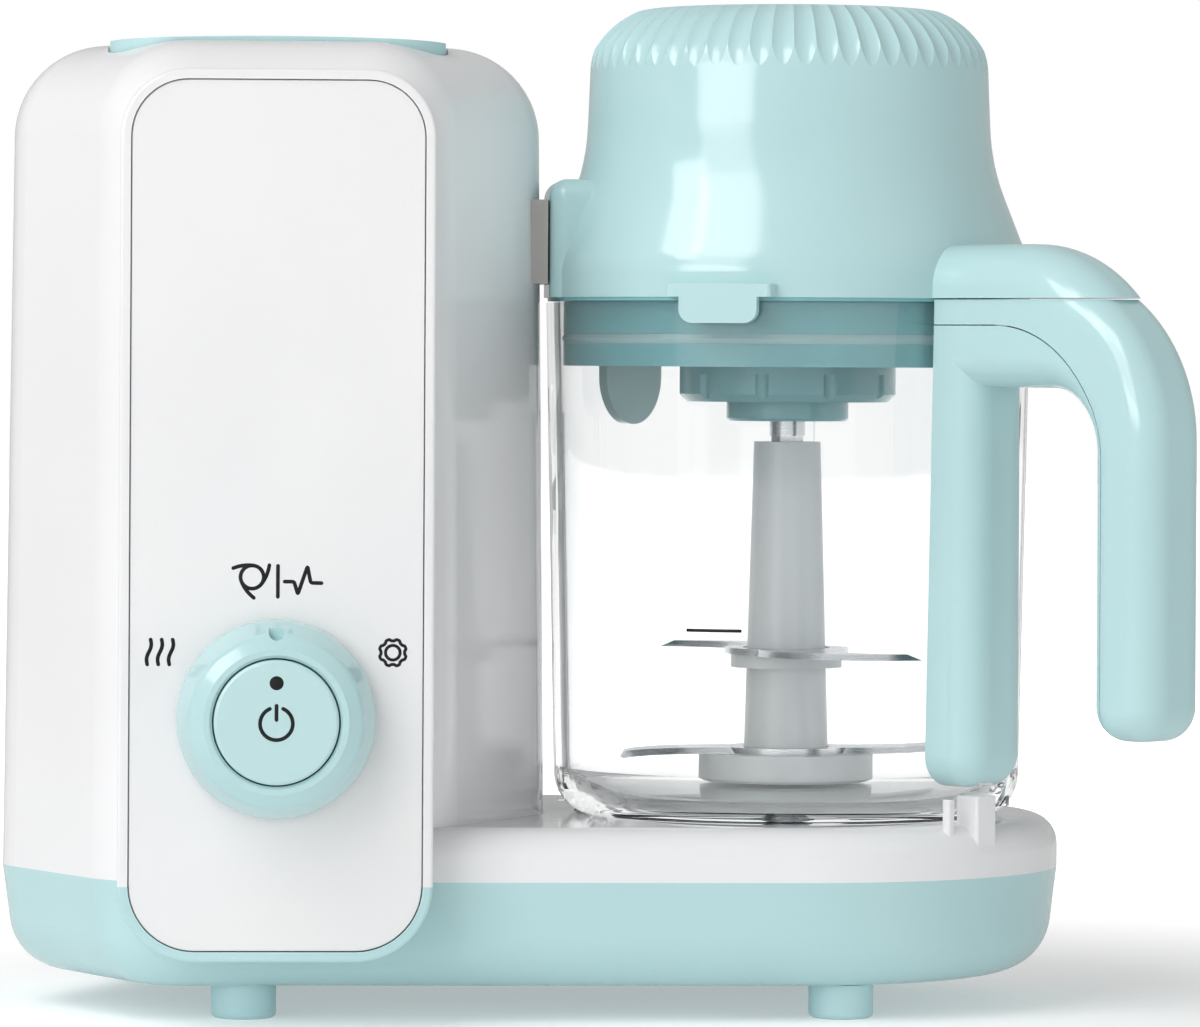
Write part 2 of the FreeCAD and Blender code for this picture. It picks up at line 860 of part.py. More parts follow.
def lower_housing(front):
    tub = tub_form("tub_skin", 0, S.floor_z)
    skin = fuse("lower_skin", tub, front)
    recess, well = panel_cutters("lower")
    tools = [
        tub_form("tub_core", S.wall, S.floor_z + S.wall),
        recess,
        well,
        inlet_form("inlet_hole", S.panel_gap, S.wall),
    ]
    posts = [rod("base_post", x, y, S.floor_z + S.wall / 2, S.boss_r, S.seam_z - S.floor_z - S.wall / 2)
             for x, y in SCREW_SPOTS]
    shell = fuse("lower_shell", cut("lower_open", skin, *tools), *posts)
    holes = []
    for x, y in SCREW_SPOTS:
        holes.append(rod("head_hole", x, y, 0, S.screw_head_r + S.fit_gap, S.screw_seat_z))
        holes.append(rod("shank_hole", x, y, 0, S.screw_r + S.fit_gap, S.seam_z + 1))
    node("lower_housing", cut("lower_housing", shell, *holes))


def inlet_form(name, grow, rear=0):
    """The outline of the power inlet in the back wall, run on to the rear where it is a cutter."""
    half = S.inlet_width / 2 + grow
    tall = S.inlet_height / 2 + grow
    return slab(name, half, S.inlet_z - tall, S.inlet_z + tall, -S.inlet_back - rear,
                S.inlet_depth - S.inlet_back, S.inlet_wall, S.inlet_wall)


UPPER_PAD, LOWER_PAD = front_pad()
upper_housing(UPPER_PAD)
lower_housing(LOWER_PAD)


# Controls: local frames look out of the panel, so heights run towards the user
PANEL_FACE = S.pad_front - S.panel_sink
FACING = ((1, 0, 0), 90)


def on_panel(body, z=S.dial_z):
    return place(body, TOWER_X, S.jug_y - PANEL_FACE, z, *FACING)


def control_panel():
    plate = slab("panel_plate", PANEL_HALF, S.panel_bottom_z, S.panel_top_z, PANEL_BACK, PANEL_FACE,
                 S.panel_bottom_r, S.panel_top_r)
    inset = S.post_r * 2
    posts = []
    for side in (-1, 1):
        for end in (-1, 1):
            x = TOWER_X + side * (S.board_width / 2 - inset)
            z = S.dial_z + end * (S.board_height / 2 - inset)
            posts.append(rod("panel_post", x, S.jug_y - PANEL_BACK, z, S.post_r, S.post_height,
                             (1, 0, 0), -90))
    sleeve_hole = rod("sleeve_hole", TOWER_X, S.jug_y - S.pad_front, S.dial_z, S.sleeve_r + S.dial_gap,
                      S.panel_sink + S.panel_thick + S.cutter_run, (1, 0, 0), -90)
    node("control_panel", cut("control_panel", fuse("panel_moulding", plate, *posts), sleeve_hole))


def dial():
    gap = S.dial_gap
    top = S.dial_height
    floor = top - S.dial_bore_depth
    crest_r = S.dial_bore_r + S.dial_crest_out
    points = [
        (S.sleeve_r - S.sleeve_wall, -S.sleeve_length),
        (S.sleeve_r, -S.sleeve_length),
        (S.sleeve_r, gap),
        (S.dial_r - S.dial_foot_edge, gap),
        (S.dial_r, gap + S.dial_foot_edge),
        (S.dial_r, S.dial_side),
        (crest_r, S.dial_crest),
        (S.dial_bore_r + S.dial_rim, top),
        (S.dial_bore_r + S.dial_rim_edge, top),
        (S.dial_bore_r, top - S.dial_rim_edge),
        (S.dial_bore_r, floor),
        (S.sleeve_r - S.sleeve_wall, floor),
    ]
    ring = spin("dial_ring", points)
    round_edges(ring, S.dial_side_r, ring_at(S.dial_r, S.dial_side))
    round_edges(ring, S.dial_crest_r, ring_at(crest_r, S.dial_crest))
    half = S.notch_width / 2
    reach = S.dial_r - S.notch_reach
    beyond = S.dial_r + S.cutter_run
    notch = pad("dial_notch", "XY_Plane", S.notch_floor,
                [(-half, reach), (half, reach), (half, beyond), (-half, beyond)], top)
    round_edges(notch, half * 0.98, runs_along(2, (half, reach), (-half, reach)))
    node("dial", cut("dial", on_panel(ring), on_panel(notch)))


def power_button():
    face = S.dial_height + S.button_proud
    radius = S.dial_bore_r - S.button_gap
    stem = S.sleeve_r - S.sleeve_wall - S.button_gap
    points = [
        (0, face - S.button_height - S.button_stem),
        (stem, face - S.button_height - S.button_stem),
        (stem, face - S.button_height),
        (radius, face - S.button_height),
        (radius, face),
        (0, face),
    ]
    button = spin("power_button", points)
    round_edges(button, S.button_edge_r, ring_at(radius, face))
    node("power_button", on_panel(button))


def switch_and_board():
    half = S.switch_side / 2
    back = -S.panel_thick - S.switch_depth
    body = pad("switch_case", "XY_Plane", back, square_about(0, 0, half), S.switch_depth)
    round_edges(body, S.case_corner_r, steep)
    hole = on_panel(pad("switch_hole", "XY_Plane", back - S.cutter_run,
                        square_about(0, 0, S.sleeve_r + S.dial_gap), S.switch_depth + 2 * S.cutter_run))
    node("rotary_switch", cut("rotary_switch", on_panel(body), hole))
    board_at = -S.panel_thick - S.post_height - S.board_thick
    wide = S.board_width / 2
    tall = S.board_height / 2
    outline = [(-wide, -tall), (wide, -tall), (wide, tall), (-wide, tall)]
    board = pad("board_plate", "XY_Plane", board_at, outline, S.board_thick)
    round_edges(board, S.case_corner_r, steep)
    node("control_board", on_panel(board))
    key = pad("press_switch", "XY_Plane", board_at + S.board_thick, square_about(0, 0, S.press_side / 2),
              S.press_height)
    node("press_switch", on_panel(key))


control_panel()
dial()
power_button()
switch_and_board()


# Water tank and its lid
def water_tank():
    top_z = S.recess_z - S.wall
    half = S.mouth_half + S.tank_wall
    outer = rest_box("tank_shell", half, half, S.tank_bottom_z, top_z, S.tank_corner_r + S.tank_wall)
    inner = rest_box("tank_space", S.mouth_half, S.mouth_half, S.tank_bottom_z + S.tank_wall,
                     top_z + S.cutter_run, S.tank_corner_r)
    outlet = rod("tank_outlet", TOWER_X, S.jug_y, S.tank_bottom_z - S.cutter_run, S.pipe_r - S.pipe_wall,
                 S.tank_wall + 2 * S.cutter_run)
    node("water_tank", cut("water_tank", outer, inner, outlet))


def tank_lid():
    half = S.lid_width / 2
    low_z = S.recess_z + S.lid_gap
    edge_z = S.tower_top_z + S.lid_proud
    bow_r = (half * half + S.lid_crown * S.lid_crown) / (2 * S.lid_crown)
    points = [(-half, low_z), (half, low_z), (half, edge_z), (-half, Free(edge_z))]
    arcs = {2: (0, edge_z + S.lid_crown - bow_r)}
    body = pad("lid_plate", "XZ_Plane", 0, points, S.lid_depth, arcs, both=True)
    corners = [(x, y) for x in (-half, half) for y in (-LID_BACK, LID_BACK)]
    round_edges(body, S.lid_corner_r, runs_along(2, *corners))
    place(body, TOWER_X, MOUTH_Y)
    rear_y = HINGE_Y - S.hinge_r - S.lid_gap
    rear = block("lid_rear_cut", TOWER_X - S.lid_width, rear_y, low_z - S.cutter_run, 2 * S.lid_width,
                 S.lid_width, edge_z - low_z + 2 * S.cutter_run)
    barrel = rod("lid_barrel", TOWER_X - S.hinge_width / 2, HINGE_Y, HINGE_Z, S.hinge_r, S.hinge_width,
                 (0, 1, 0), 90)
    web = block("lid_web", TOWER_X - S.hinge_width / 2, rear_y - 1, HINGE_Z - S.hinge_r * 0.6,
                S.hinge_width, HINGE_Y - rear_y + 1, S.hinge_r * 1.2)
    grip = rod("lid_grip", TOWER_X, MOUTH_Y - LID_BACK, low_z - S.cutter_run, S.lid_notch_r,
               S.lid_notch_depth + S.cutter_run)
    pin_hole = rod("lid_pin_hole", TOWER_X - S.lid_width, HINGE_Y, HINGE_Z, S.hinge_pin_r + S.fit_gap / 2,
                   2 * S.lid_width, (0, 1, 0), 90)
    plate = fuse("lid_joined", cut("lid_trimmed", body, rear), barrel, web)
    node("tank_lid", cut("tank_lid", plate, pin_hole, grip))
    reach = S.mouth_half - S.fit_gap
    corner_r = S.tank_corner_r - S.fit_gap
    low_edge = low_z - S.seal_depth
    outer = rest_box("seal_outer", reach, reach, low_edge, low_z, corner_r)
    reach = reach - S.seal_width
    inner = rest_box("seal_inner", reach, reach, low_edge - S.cutter_run, low_z + S.cutter_run,
                     corner_r - S.seal_width)
    node("tank_seal", cut("tank_seal", outer, inner))
    reach = S.hinge_width / 2 + S.lid_gap + S.hinge_grip
    node("tank_hinge_pin", rod("tank_hinge_pin", TOWER_X - reach, HINGE_Y, HINGE_Z, S.hinge_pin_r, 2 * reach,
                               (0, 1, 0), 90))


# Steam works
def steam_works():
    stand_z = S.floor_z + S.wall
    outer = rod("stand_tube", TOWER_X, S.jug_y, stand_z, S.boiler_r, S.boiler_z - stand_z)
    inner = rod("stand_space", TOWER_X, S.jug_y, 0, S.boiler_r - S.stand_wall, 2 * S.boiler_z)
    window = block("stand_window", TOWER_X - 2 * S.boiler_r, S.jug_y - S.boiler_r / 2, stand_z + S.window_low,
                   4 * S.boiler_r, S.boiler_r, S.boiler_z - stand_z - S.window_low - S.window_high)
    node("boiler_stand", cut("boiler_stand", outer, inner, window))
    top = S.boiler_z + S.boiler_height
    points = [
        (0, S.boiler_z),
        (S.boiler_r, S.boiler_z),
        (S.boiler_r, S.boiler_z + S.boiler_flange),
        (S.boiler_r - S.boiler_step, S.boiler_z + S.boiler_flange),
        (S.boiler_r - S.boiler_step, top - S.boiler_slope),
        (2 * S.pipe_r, top),
        (0, top),
    ]
    boiler = place(spin("boiler_body", points), TOWER_X, S.jug_y)
    spout_end = S.pipe_x - 2 * S.pipe_bend_r
    start = spout_end - S.spout_depth
    spout = rod("boiler_spout", TOWER_X, S.jug_y, S.outlet_z, S.pipe_r + S.spout_wall, spout_end,
                (0, 1, 0), 90)
    socket = rod("boiler_socket", TOWER_X + start, S.jug_y, S.outlet_z, S.pipe_r, 2 * S.spout_depth,
                 (0, 1, 0), 90)
    node("boiler", cut("boiler", fuse("boiler_joined", boiler, spout), socket))
    pipe = new_body("steam_tube")
    bend = S.pipe_bend_r
    points = [
        (start, S.outlet_z),
        (S.pipe_x - bend, S.outlet_z),
        (Free(S.pipe_x), S.outlet_z + bend),
        (S.pipe_x, S.steam_z - bend),
        (S.pipe_x + bend, Free(S.steam_z)),
        (COUPLING_END - S.spout_depth, S.steam_z),
    ]
    arcs = {1: (S.pipe_x - bend, S.outlet_z + bend), 3: (S.pipe_x + bend, S.steam_z - bend)}
    path = draw(new_sketch(pipe, "XZ_Plane"), points, arcs, closed=False)
    ring = new_sketch(pipe, "YZ_Plane", start)
    draw_circle(ring, 0, S.outlet_z, S.pipe_r)
    sweep = pipe.newObject("PartDesign::AdditivePipe", "steam_sweep")
    sweep.Profile = ring
    sweep.Spine = path
    doc.recompute()
    node("steam_pipe", place(pipe, TOWER_X, S.jug_y))
    node("water_pipe", rod("water_pipe", TOWER_X, S.jug_y, top, S.pipe_r, S.tank_bottom_z - top))


water_tank()
tank_lid()
steam_works()


# Coupling between tower and lid
def coupling():
    low = S.coupling_bottom_z
    high = S.coupling_top_z
    half = S.coupling_width / 2
    body = block("coupling_block", TOWER_X + S.coupling_root, S.jug_y - half, low,
                 COUPLING_END - S.coupling_root, S.coupling_width, high - low)
    port = rod("coupling_port", TOWER_X, S.jug_y, S.steam_z, S.pipe_r, S.tower_pitch, (0, 1, 0), 90)
    holes = [port] + contact_rods("contact_hole")
    node("steam_coupling", cut("steam_coupling", body, *holes))
    node("power_contacts", group("power_contacts", contact_rods("contact")))


def contact_rods(name):
    """Three contacts in a row under the steam port."""
    long = COUPLING_END - S.coupling_root
    z = S.coupling_bottom_z + 3 * S.contact_r
    return [
        rod(f"{name}_{place_in_row}", TOWER_X + S.coupling_root, S.jug_y + place_in_row * S.contact_pitch, z,
            S.contact_r, long, (0, 1, 0), 90)
        for place_in_row in (-1, 0, 1)
    ]


# Feet, screws, power inlet and interlock switch
def feet():
    solids = []
    for side in (-1, 1):
        for end in (-1, 1):
            points = [(0, 0), (S.foot_r, 0), (S.foot_r, S.floor_z), (0, S.floor_z)]
            foot = spin("foot", points)
            round_edges(foot, S.foot_edge_r, ring_at(S.foot_r, 0))
            x = S.jug_x - S.foot_middle + side * S.foot_half_pitch
            solids.append(place(foot, x, S.jug_y + end * S.foot_y))
    node("feet", group("feet", solids))


def base_screws():
    screws = []
    for x, y in SCREW_SPOTS:
        points = [
            (0, S.screw_seat_z - S.screw_head),
            (S.screw_head_r, S.screw_seat_z - S.screw_head),
            (S.screw_head_r, S.screw_seat_z),
            (S.screw_r, S.screw_seat_z),
            (S.screw_r, SCREW_TOP_Z),
            (0, SCREW_TOP_Z),
        ]
        screws.append(place(spin("base_screw", points), x, y))
    node("base_screws", group("base_screws", screws))


def power_inlet():
    """The inlet in the back wall: a box open to the rear with two pins."""
    space = inlet_form("inlet_space", -S.inlet_wall, S.wall)
    place(space, TOWER_X, S.jug_y + S.inlet_wall)
    pins = [
        rod("inlet_pin", TOWER_X + side * S.inlet_pin_pitch / 2, S.jug_y + S.inlet_back - S.inlet_wall / 2,
            S.inlet_z, S.inlet_pin_r, S.inlet_depth - S.inlet_wall, (1, 0, 0), 90)
        for side in (-1, 1)
    ]
    case = cut("inlet_case", inlet_form("inlet_block", 0), space)
    node("power_inlet", fuse("power_inlet", case, *pins))


def interlock_switch():
    """The switch under the deck beside the keys."""
    half = S.interlock_length / 2
    wide = S.interlock_width / 2
    under = S.deck_z - S.seat_depth - S.wall
    at = S.interlock_at
    outline = [(at - half, -wide), (at + half, -wide), (at + half, wide), (at - half, wide)]
    body = pad("interlock_switch", "XY_Plane", under - S.interlock_height, outline, S.interlock_height)
    node("interlock_switch", at_handle(body))


feet()
base_screws()
power_inlet()
interlock_switch()
coupling()


# Jug
JUG_FOOT_Z = S.deck_z - S.seat_depth + S.seat_gap
JUG_FLOOR_Z = JUG_FOOT_Z + S.jug_floor


def on_jug(body):
    return place(body, S.jug_x, S.jug_y)


def polar(body, feature, count, angle=360):
    """Repeats a feature about the body's upright axis."""
    pattern = body.newObject("PartDesign::PolarPattern", f"{body.Name}_pattern")
    pattern.Originals = [feature]
    axis = next(f for f in body.Origin.OriginFeatures if f.Role == "Z_Axis")
    pattern.Axis = (axis, [""])
    bind(pattern, "Angle", angle)
    if isinstance(count, Size):
        pattern.Occurrences = int(count.number)
        pattern.setExpression("Occurrences", count.text)
    else:
        pattern.Occurrences = count
    body.Tip = pattern
    doc.recompute()
    return pattern


def jug():
    wall = S.jug_wall
    points = [
        (0, JUG_FOOT_Z),
        (S.jug_bottom_r, JUG_FOOT_Z),
        (S.jug_top_r, S.jug_rim_z),
        (S.jug_top_r - wall, S.jug_rim_z),
        (S.jug_bottom_r - wall, JUG_FLOOR_Z),
        (0, JUG_FLOOR_Z),
    ]
    body = spin("jug_glass", points)
    round_edges(body, S.jug_corner_r, ring_at(S.jug_bottom_r, JUG_FOOT_Z))
    round_edges(body, S.jug_corner_r - wall, ring_at(S.jug_bottom_r - wall, JUG_FLOOR_Z))
    reach = S.jug_bottom_r - wall - S.rib_depth
    into = S.jug_bottom_r - wall / 4
    half = S.rib_width / 2
    outline = [(-into, -half), (-reach, -half), (-reach, half), (-into, half)]
    low_z = JUG_FLOOR_Z - S.jug_floor / 4
    rib = extrude(body, draw(new_sketch(body, "XY_Plane", low_z), outline), S.rib_top_z - low_z)
    polar(body, rib, 3, -2 * S.rib_pitch)
    on_jug(body)
    hole = rod("pivot_hole", S.jug_x, S.jug_y, JUG_FLOOR_Z - S.pivot_seat, S.pivot_r,
               S.pivot_seat + S.cutter_run)
    node("jug", cut("jug", body, hole))
    pivot = rod("pivot_blank", S.jug_x, S.jug_y, JUG_FLOOR_Z - S.pivot_seat, S.pivot_r,
                S.pivot_top_z - JUG_FLOOR_Z + S.pivot_seat)
    node("blade_pivot", pivot)


# Handle
def handle():
    root = S.jug_bottom_r - S.jug_wall
    arch_x = S.handle_outer_r - S.handle_arch_r
    gap_x = S.handle_grip_r - S.handle_gap_r
    gap_z = S.handle_gap_z - S.handle_gap_r
    tip = number(arch_x) + math.sqrt(number(S.handle_arch_r) ** 2
                                     - number(S.handle_top_z - S.handle_arch_z) ** 2)
    points = [
        (root, S.handle_foot_z),
        (S.handle_inner_r, S.handle_foot_z),
        (S.handle_inner_r, S.handle_gap_z),
        (gap_x, S.handle_gap_z),
        (Free(S.handle_grip_r), gap_z),
        (S.handle_grip_r, S.grip_foot_z),
        (S.handle_outer_r, S.grip_foot_z),
        (S.handle_outer_r, S.handle_arch_z),
        (Free(tip), S.handle_top_z),
        (root, S.handle_top_z),
    ]
    arcs = {3: (gap_x, gap_z), 7: (arch_x, S.handle_arch_z)}
    body = pad("handle_whole", "XZ_Plane", 0, points, S.handle_width, arcs, both=True)
    ends = [
        (S.handle_inner_r, S.handle_foot_z),
        (S.handle_grip_r, S.grip_foot_z),
        (S.handle_outer_r, S.grip_foot_z),
    ]
    round_edges(body, S.handle_end_r, runs_along(1, *ends))
    half = number(S.handle_width) / 2
    top = number(S.handle_top_z)
    inside = number(root)

    def long_edge(edge):
        middle = edge.CenterOfMass
        return abs(abs(middle.y) - half) < 0.01 and middle.z < top - 0.01 and middle.x > inside + 0.01
    round_edges(body, S.handle_edge_r, long_edge)
    at_handle(body)
    glass = on_jug(spin("jug_clear", [
        (0, S.floor_z),
        (S.jug_bottom_r, S.floor_z),
        (S.jug_bottom_r, JUG_FOOT_Z),
        (S.jug_top_r, S.jug_rim_z),
        (S.jug_top_r, S.lid_seam_z + S.cutter_run),
        (0, S.lid_seam_z + S.cutter_run),
    ]))
    bore = at_handle(pad("rod_bore", "XY_Plane", S.floor_z, square_about(S.rod_at, 0, S.rod_r + S.rod_gap),
                         S.lid_seam_z))
    solid = cut("handle_solid", body, glass, bore)
    inner = handle_seam("handle_lining", 0)
    outer = handle_seam("handle_split", S.split_gap)
    node("handle_inner", common("handle_inner", solid, inner))
    node("handle_outer", cut("handle_outer", solid, outer))
    low_z = S.handle_foot_z + S.rod_gap
    slide = at_handle(pad("interlock_bar", "XY_Plane", low_z, square_about(S.rod_at, 0, S.rod_r),
                          S.handle_top_z - S.rod_throw - low_z))
    node("interlock_rod", slide)


def handle_seam(name, grow):
    """The region of the handle's lining, which runs under the arch and down inside the grip."""
    edge_x = S.handle_grip_r + S.grip_liner + grow
    top_z = S.handle_seam_z + grow
    radius = S.handle_seam_r
    points = [
        (0, 0),
        (edge_x, 0),
        (edge_x, top_z - radius),
        (edge_x - radius, Free(top_z)),
        (0, top_z),
    ]
    region = pad(name, "XZ_Plane", 0, points, 2 * S.handle_width,
                 {2: (edge_x - radius, top_z - radius)}, both=True)
    return at_handle(region)


jug()
handle()


# Lid: motor cover
def dome_points(inset, low_z):
    return [
        (0, low_z),
        (S.skirt_r - inset, low_z),
        (S.skirt_r - inset, S.skirt_top_z),
        (S.dome_r - inset, S.waist_z),
        (S.dome_top_r - inset, S.dome_top_z - S.dome_drop - inset),
        (0, S.dome_top_z - inset),
    ]


def dome_body(name, inset, low_z):
    """The dome: a straight skirt, a flare, slightly drafted sides and a rounded shoulder."""
    body = spin(name, dome_points(inset, low_z))
    round_edges(body, S.flare_r, ring_at(S.skirt_r - inset, S.skirt_top_z))
    round_edges(body, S.waist_r, ring_at(S.dome_r - inset, S.waist_z))
    round_edges(body, S.dome_shoulder_r - inset,
                ring_at(S.dome_top_r - inset, S.dome_top_z - S.dome_drop - inset))
    return body


def flute(body):
    """Scallops round the shoulder, each cut by a quarter ring that leaves the surface at both ends."""
    at_r = S.dome_top_r - S.dome_shoulder_r - S.flute_shift
    at_z = S.dome_top_z - S.dome_drop - S.dome_shoulder_r - S.flute_shift
    ring = body.newObject("PartDesign::SubtractiveTorus", "flute")
    support = next(f for f in body.Origin.OriginFeatures if f.Role == "XZ_Plane")
    ring.AttachmentSupport = [(support, "")]
    ring.MapMode = "FlatFace"
    bind(ring, "Radius1", math.sqrt(2) * S.flute_shift + S.dome_shoulder_r + S.flute_r - S.flute_depth)
    bind(ring, "Radius2", S.flute_r)
    ring.Angle3 = 90
    ring.AttachmentOffset = FreeCAD.Placement(
        FreeCAD.Vector(number(at_r), number(at_z), 0), FreeCAD.Rotation())
    bind(ring, "AttachmentOffset.Base.x", at_r)
    bind(ring, "AttachmentOffset.Base.y", at_z)
    doc.recompute()
    polar(body, ring, S.flute_count)


def handle_ear():
    """The ear of the cover that caps the handle, bowed down at its tip and cut off at the seam."""
    root = S.dome_r / 2
    run = S.ear_tip_r - S.ear_bend_r
    rise = S.ear_top_z - S.lid_seam_z
    bow_r = (run * run + rise * rise) / (2 * rise)
    low_z = S.ear_top_z - bow_r
    points = [
        (root, low_z),
        (S.ear_bend_r + bow_r, low_z),
        (S.ear_bend_r, Free(S.ear_top_z)),
        (root, S.ear_top_z),
    ]
    body = pad("handle_ear", "XZ_Plane", 0, points, S.ear_width, {1: (S.ear_bend_r, low_z)}, both=True)
    half = number(S.ear_width) / 2
    low = number(low_z)
    inside = number(root)

    def crest(edge):
        middle = edge.CenterOfMass
        return abs(abs(middle.y) - half) < 0.01 and middle.z > low + 0.01 and middle.x > inside + 0.01
    round_edges(body, S.ear_edge_r, crest)
    outline = [(0, 0), (2 * S.ear_tip_r, 0), (2 * S.ear_tip_r, S.lid_seam_z), (0, S.lid_seam_z)]
    extrude(body, draw(new_sketch(body, "XZ_Plane"), outline), 2 * S.ear_width, kind="Pocket", both=True)
    return at_handle(body)


def tower_ear():
    """The ear that meets the tower's coupling."""
    half = S.tower_ear_width / 2
    reach = S.tower_ear_reach
    root = S.dome_r / 2
    outline = [(-reach, -half), (-root, -half), (-root, half), (-reach, half)]
    body = pad("tower_ear", "XY_Plane", S.lid_seam_z, outline, S.tower_ear_top_z - S.lid_seam_z)
    low = number(S.lid_seam_z)
    near = -number(root)

    def outside(edge):
        middle = edge.CenterOfMass
        return middle.z > low + 0.01 and middle.x < near - 0.01
    round_edges(body, S.tower_ear_edge_r, outside)
    return on_jug(body)


def front_tab():
    """The lip and hanging flap at the front of the rim."""
    wide = S.tab_width / 2
    lip = pad("tab_lip", "XY_Plane", S.lid_seam_z,
              [(S.dome_r, -wide), (S.tab_reach, -wide), (S.tab_reach, wide), (S.dome_r, wide)], S.tab_lip)
    round_edges(lip, S.tab_edge_r, runs_along(2, (S.tab_reach, wide), (S.tab_reach, -wide)))
    half = S.flap_width / 2
    top_z = S.lid_seam_z + S.tab_lip / 2
    flap = pad("tab_flap", "YZ_Plane", S.tab_reach - S.flap_thick,
               [(-half, S.flap_bottom_z), (half, S.flap_bottom_z), (half, top_z), (-half, top_z)],
               S.flap_thick)
    round_edges(flap, S.flap_corner_r, runs_along(0, (half, S.flap_bottom_z), (-half, S.flap_bottom_z)))
    for body in (lip, flap):
        place(body, S.jug_x, S.jug_y, 0, (0, 0, 1), S.tab_angle)
    return lip, flap


def motor_cover():
    dome = dome_body("dome_skin", 0, S.lid_seam_z)
    flute(dome)
    skin = fuse("cover_skin", on_jug(dome), handle_ear(), tower_ear(), *front_tab())
    core = on_jug(dome_body("dome_core", S.dome_wall, S.lid_seam_z - S.cutter_run))
    near = S.tower_ear_reach - S.lid_contact_depth
    socket = lid_coupling_block("ear_socket", near, S.lid_contact_depth + S.cutter_run)
    shell = cut("cover_shell", skin, core, socket, lid_port("ear_port"))
    pin = at_handle(pad("interlock_pin", "XY_Plane", S.handle_top_z - S.rod_throw + S.rim_gap,
                        square_about(S.rod_at, 0, S.rod_r), S.rod_throw + S.wall))
    node("motor_cover", fuse("motor_cover", shell, pin))


def lid_coupling_block(name, near, depth):
    """The block in the tower ear that faces the coupling."""
    half = S.coupling_width / 2 - S.coupling_rim
    outline = [(-near - depth, -half), (-near, -half), (-near, half), (-near - depth, half)]
    return on_jug(pad(name, "XY_Plane", S.coupling_bottom_z, outline, S.coupling_top_z - S.coupling_bottom_z))


def lid_contacts():
    near = S.tower_ear_reach - S.lid_contact_depth
    body = lid_coupling_block("lid_contact_block", near, S.lid_contact_depth)
    node("lid_coupling", cut("lid_coupling", body, lid_port("lid_port")))


def lid_port(name):
    """The steam way from the coupling into the cover."""
    return rod(name, S.jug_x - S.tower_ear_reach - S.cutter_run, S.jug_y, S.steam_z, S.pipe_r,
               S.tower_ear_width, (0, 1, 0), 90)


# Lid: plug and shaft fittings
def lid_plug():
    carrier_hole = S.carrier_r + S.fit_gap
    floor_top = S.plug_bottom_z + S.plug_floor
    flange_z = S.lid_seam_z - S.flange_thick
    points = [
        (carrier_hole, S.plug_bottom_z),
        (S.plug_r, S.plug_bottom_z),
        (S.plug_r, S.groove_bottom_z),
        (S.plug_r - S.groove_depth, S.groove_bottom_z),
        (S.plug_r - S.groove_depth, S.groove_top_z),
        (S.plug_r, S.groove_top_z),
        (S.plug_r, flange_z),
        (S.skirt_r - S.rim_gap, flange_z),
        (S.skirt_r - S.rim_gap, S.lid_seam_z),
        (S.plug_r - S.groove_depth - S.plug_wall, S.lid_seam_z),
        (S.plug_r - S.groove_depth - S.plug_wall, floor_top),
        (carrier_hole, floor_top),
    ]
    node("lid_base", on_jug(spin("lid_base", points)))
    inner = S.plug_r - S.groove_depth
    outer = S.plug_r + S.gasket_proud
    middle = (S.groove_bottom_z + S.groove_top_z) / 2
    points = [
        (inner, S.groove_bottom_z),
        (outer - S.gasket_bevel, S.groove_bottom_z),
        (outer, middle),
        (outer - S.gasket_bevel, S.groove_top_z),
        (inner, S.groove_top_z),
    ]
    node("lid_gasket", on_jug(spin("lid_gasket", points)))
    nut()
    carrier(floor_top)
    deflector()


def nut():
    low = S.nut_bottom_z
    points = [
        (S.carrier_r + S.fit_gap, low),
        (S.nut_r - S.nut_chamfer, low),
        (S.nut_r, low + S.nut_chamfer),
        (S.nut_r, S.plug_bottom_z),
        (S.carrier_r + S.fit_gap, S.plug_bottom_z),
    ]
    body = spin("retaining_nut", points)
    sketch = draw_circle(new_sketch(body, "XY_Plane", low), S.nut_r + S.notch_r / 3, 0, S.notch_r)
    notch = extrude(body, sketch, S.plug_bottom_z - low - S.nut_chamfer, kind="Pocket", back=True)
    polar(body, notch, S.nut_notches)
    node("retaining_nut", on_jug(body))


def carrier(floor_top):
    bore = S.shaft_r + S.seal_lip
    top = floor_top + S.plug_floor
    points = [
        (bore, S.carrier_bottom_z),
        (S.carrier_r - S.carrier_edge, S.carrier_bottom_z),
        (S.carrier_r, S.carrier_bottom_z + S.carrier_edge),
        (S.carrier_r, floor_top),
        (S.carrier_flange_r, floor_top),
        (S.carrier_flange_r, top),
        (bore, top),
    ]
    node("seal_carrier", on_jug(spin("seal_carrier", points)))
    low_z = S.carrier_bottom_z + S.seal_lift
    high_z = low_z + S.seal_height
    points = [
        (S.shaft_r + S.fit_gap, low_z),
        (bore, low_z),
        (bore, high_z),
        (S.shaft_r + 2 * S.fit_gap, high_z),
    ]
    node("shaft_seal", on_jug(spin("shaft_seal", points)))


def deflector():
    """The tongue under the lid that turns the steam down into the jug."""
    half = S.deflector_width / 2
    low = S.deflector_bottom_z + half
    points = [(-half, S.plug_bottom_z), (-half, low), (Free(half), low), (half, S.plug_bottom_z)]
    body = pad("steam_deflector", "YZ_Plane", S.deflector_at - S.deflector_thick, points, S.deflector_thick,
               {1: (0, low)})
    node("steam_deflector", place(body, S.jug_x, S.jug_y, 0, (0, 0, 1), S.deflector_angle))


motor_cover()
lid_contacts()
lid_plug()


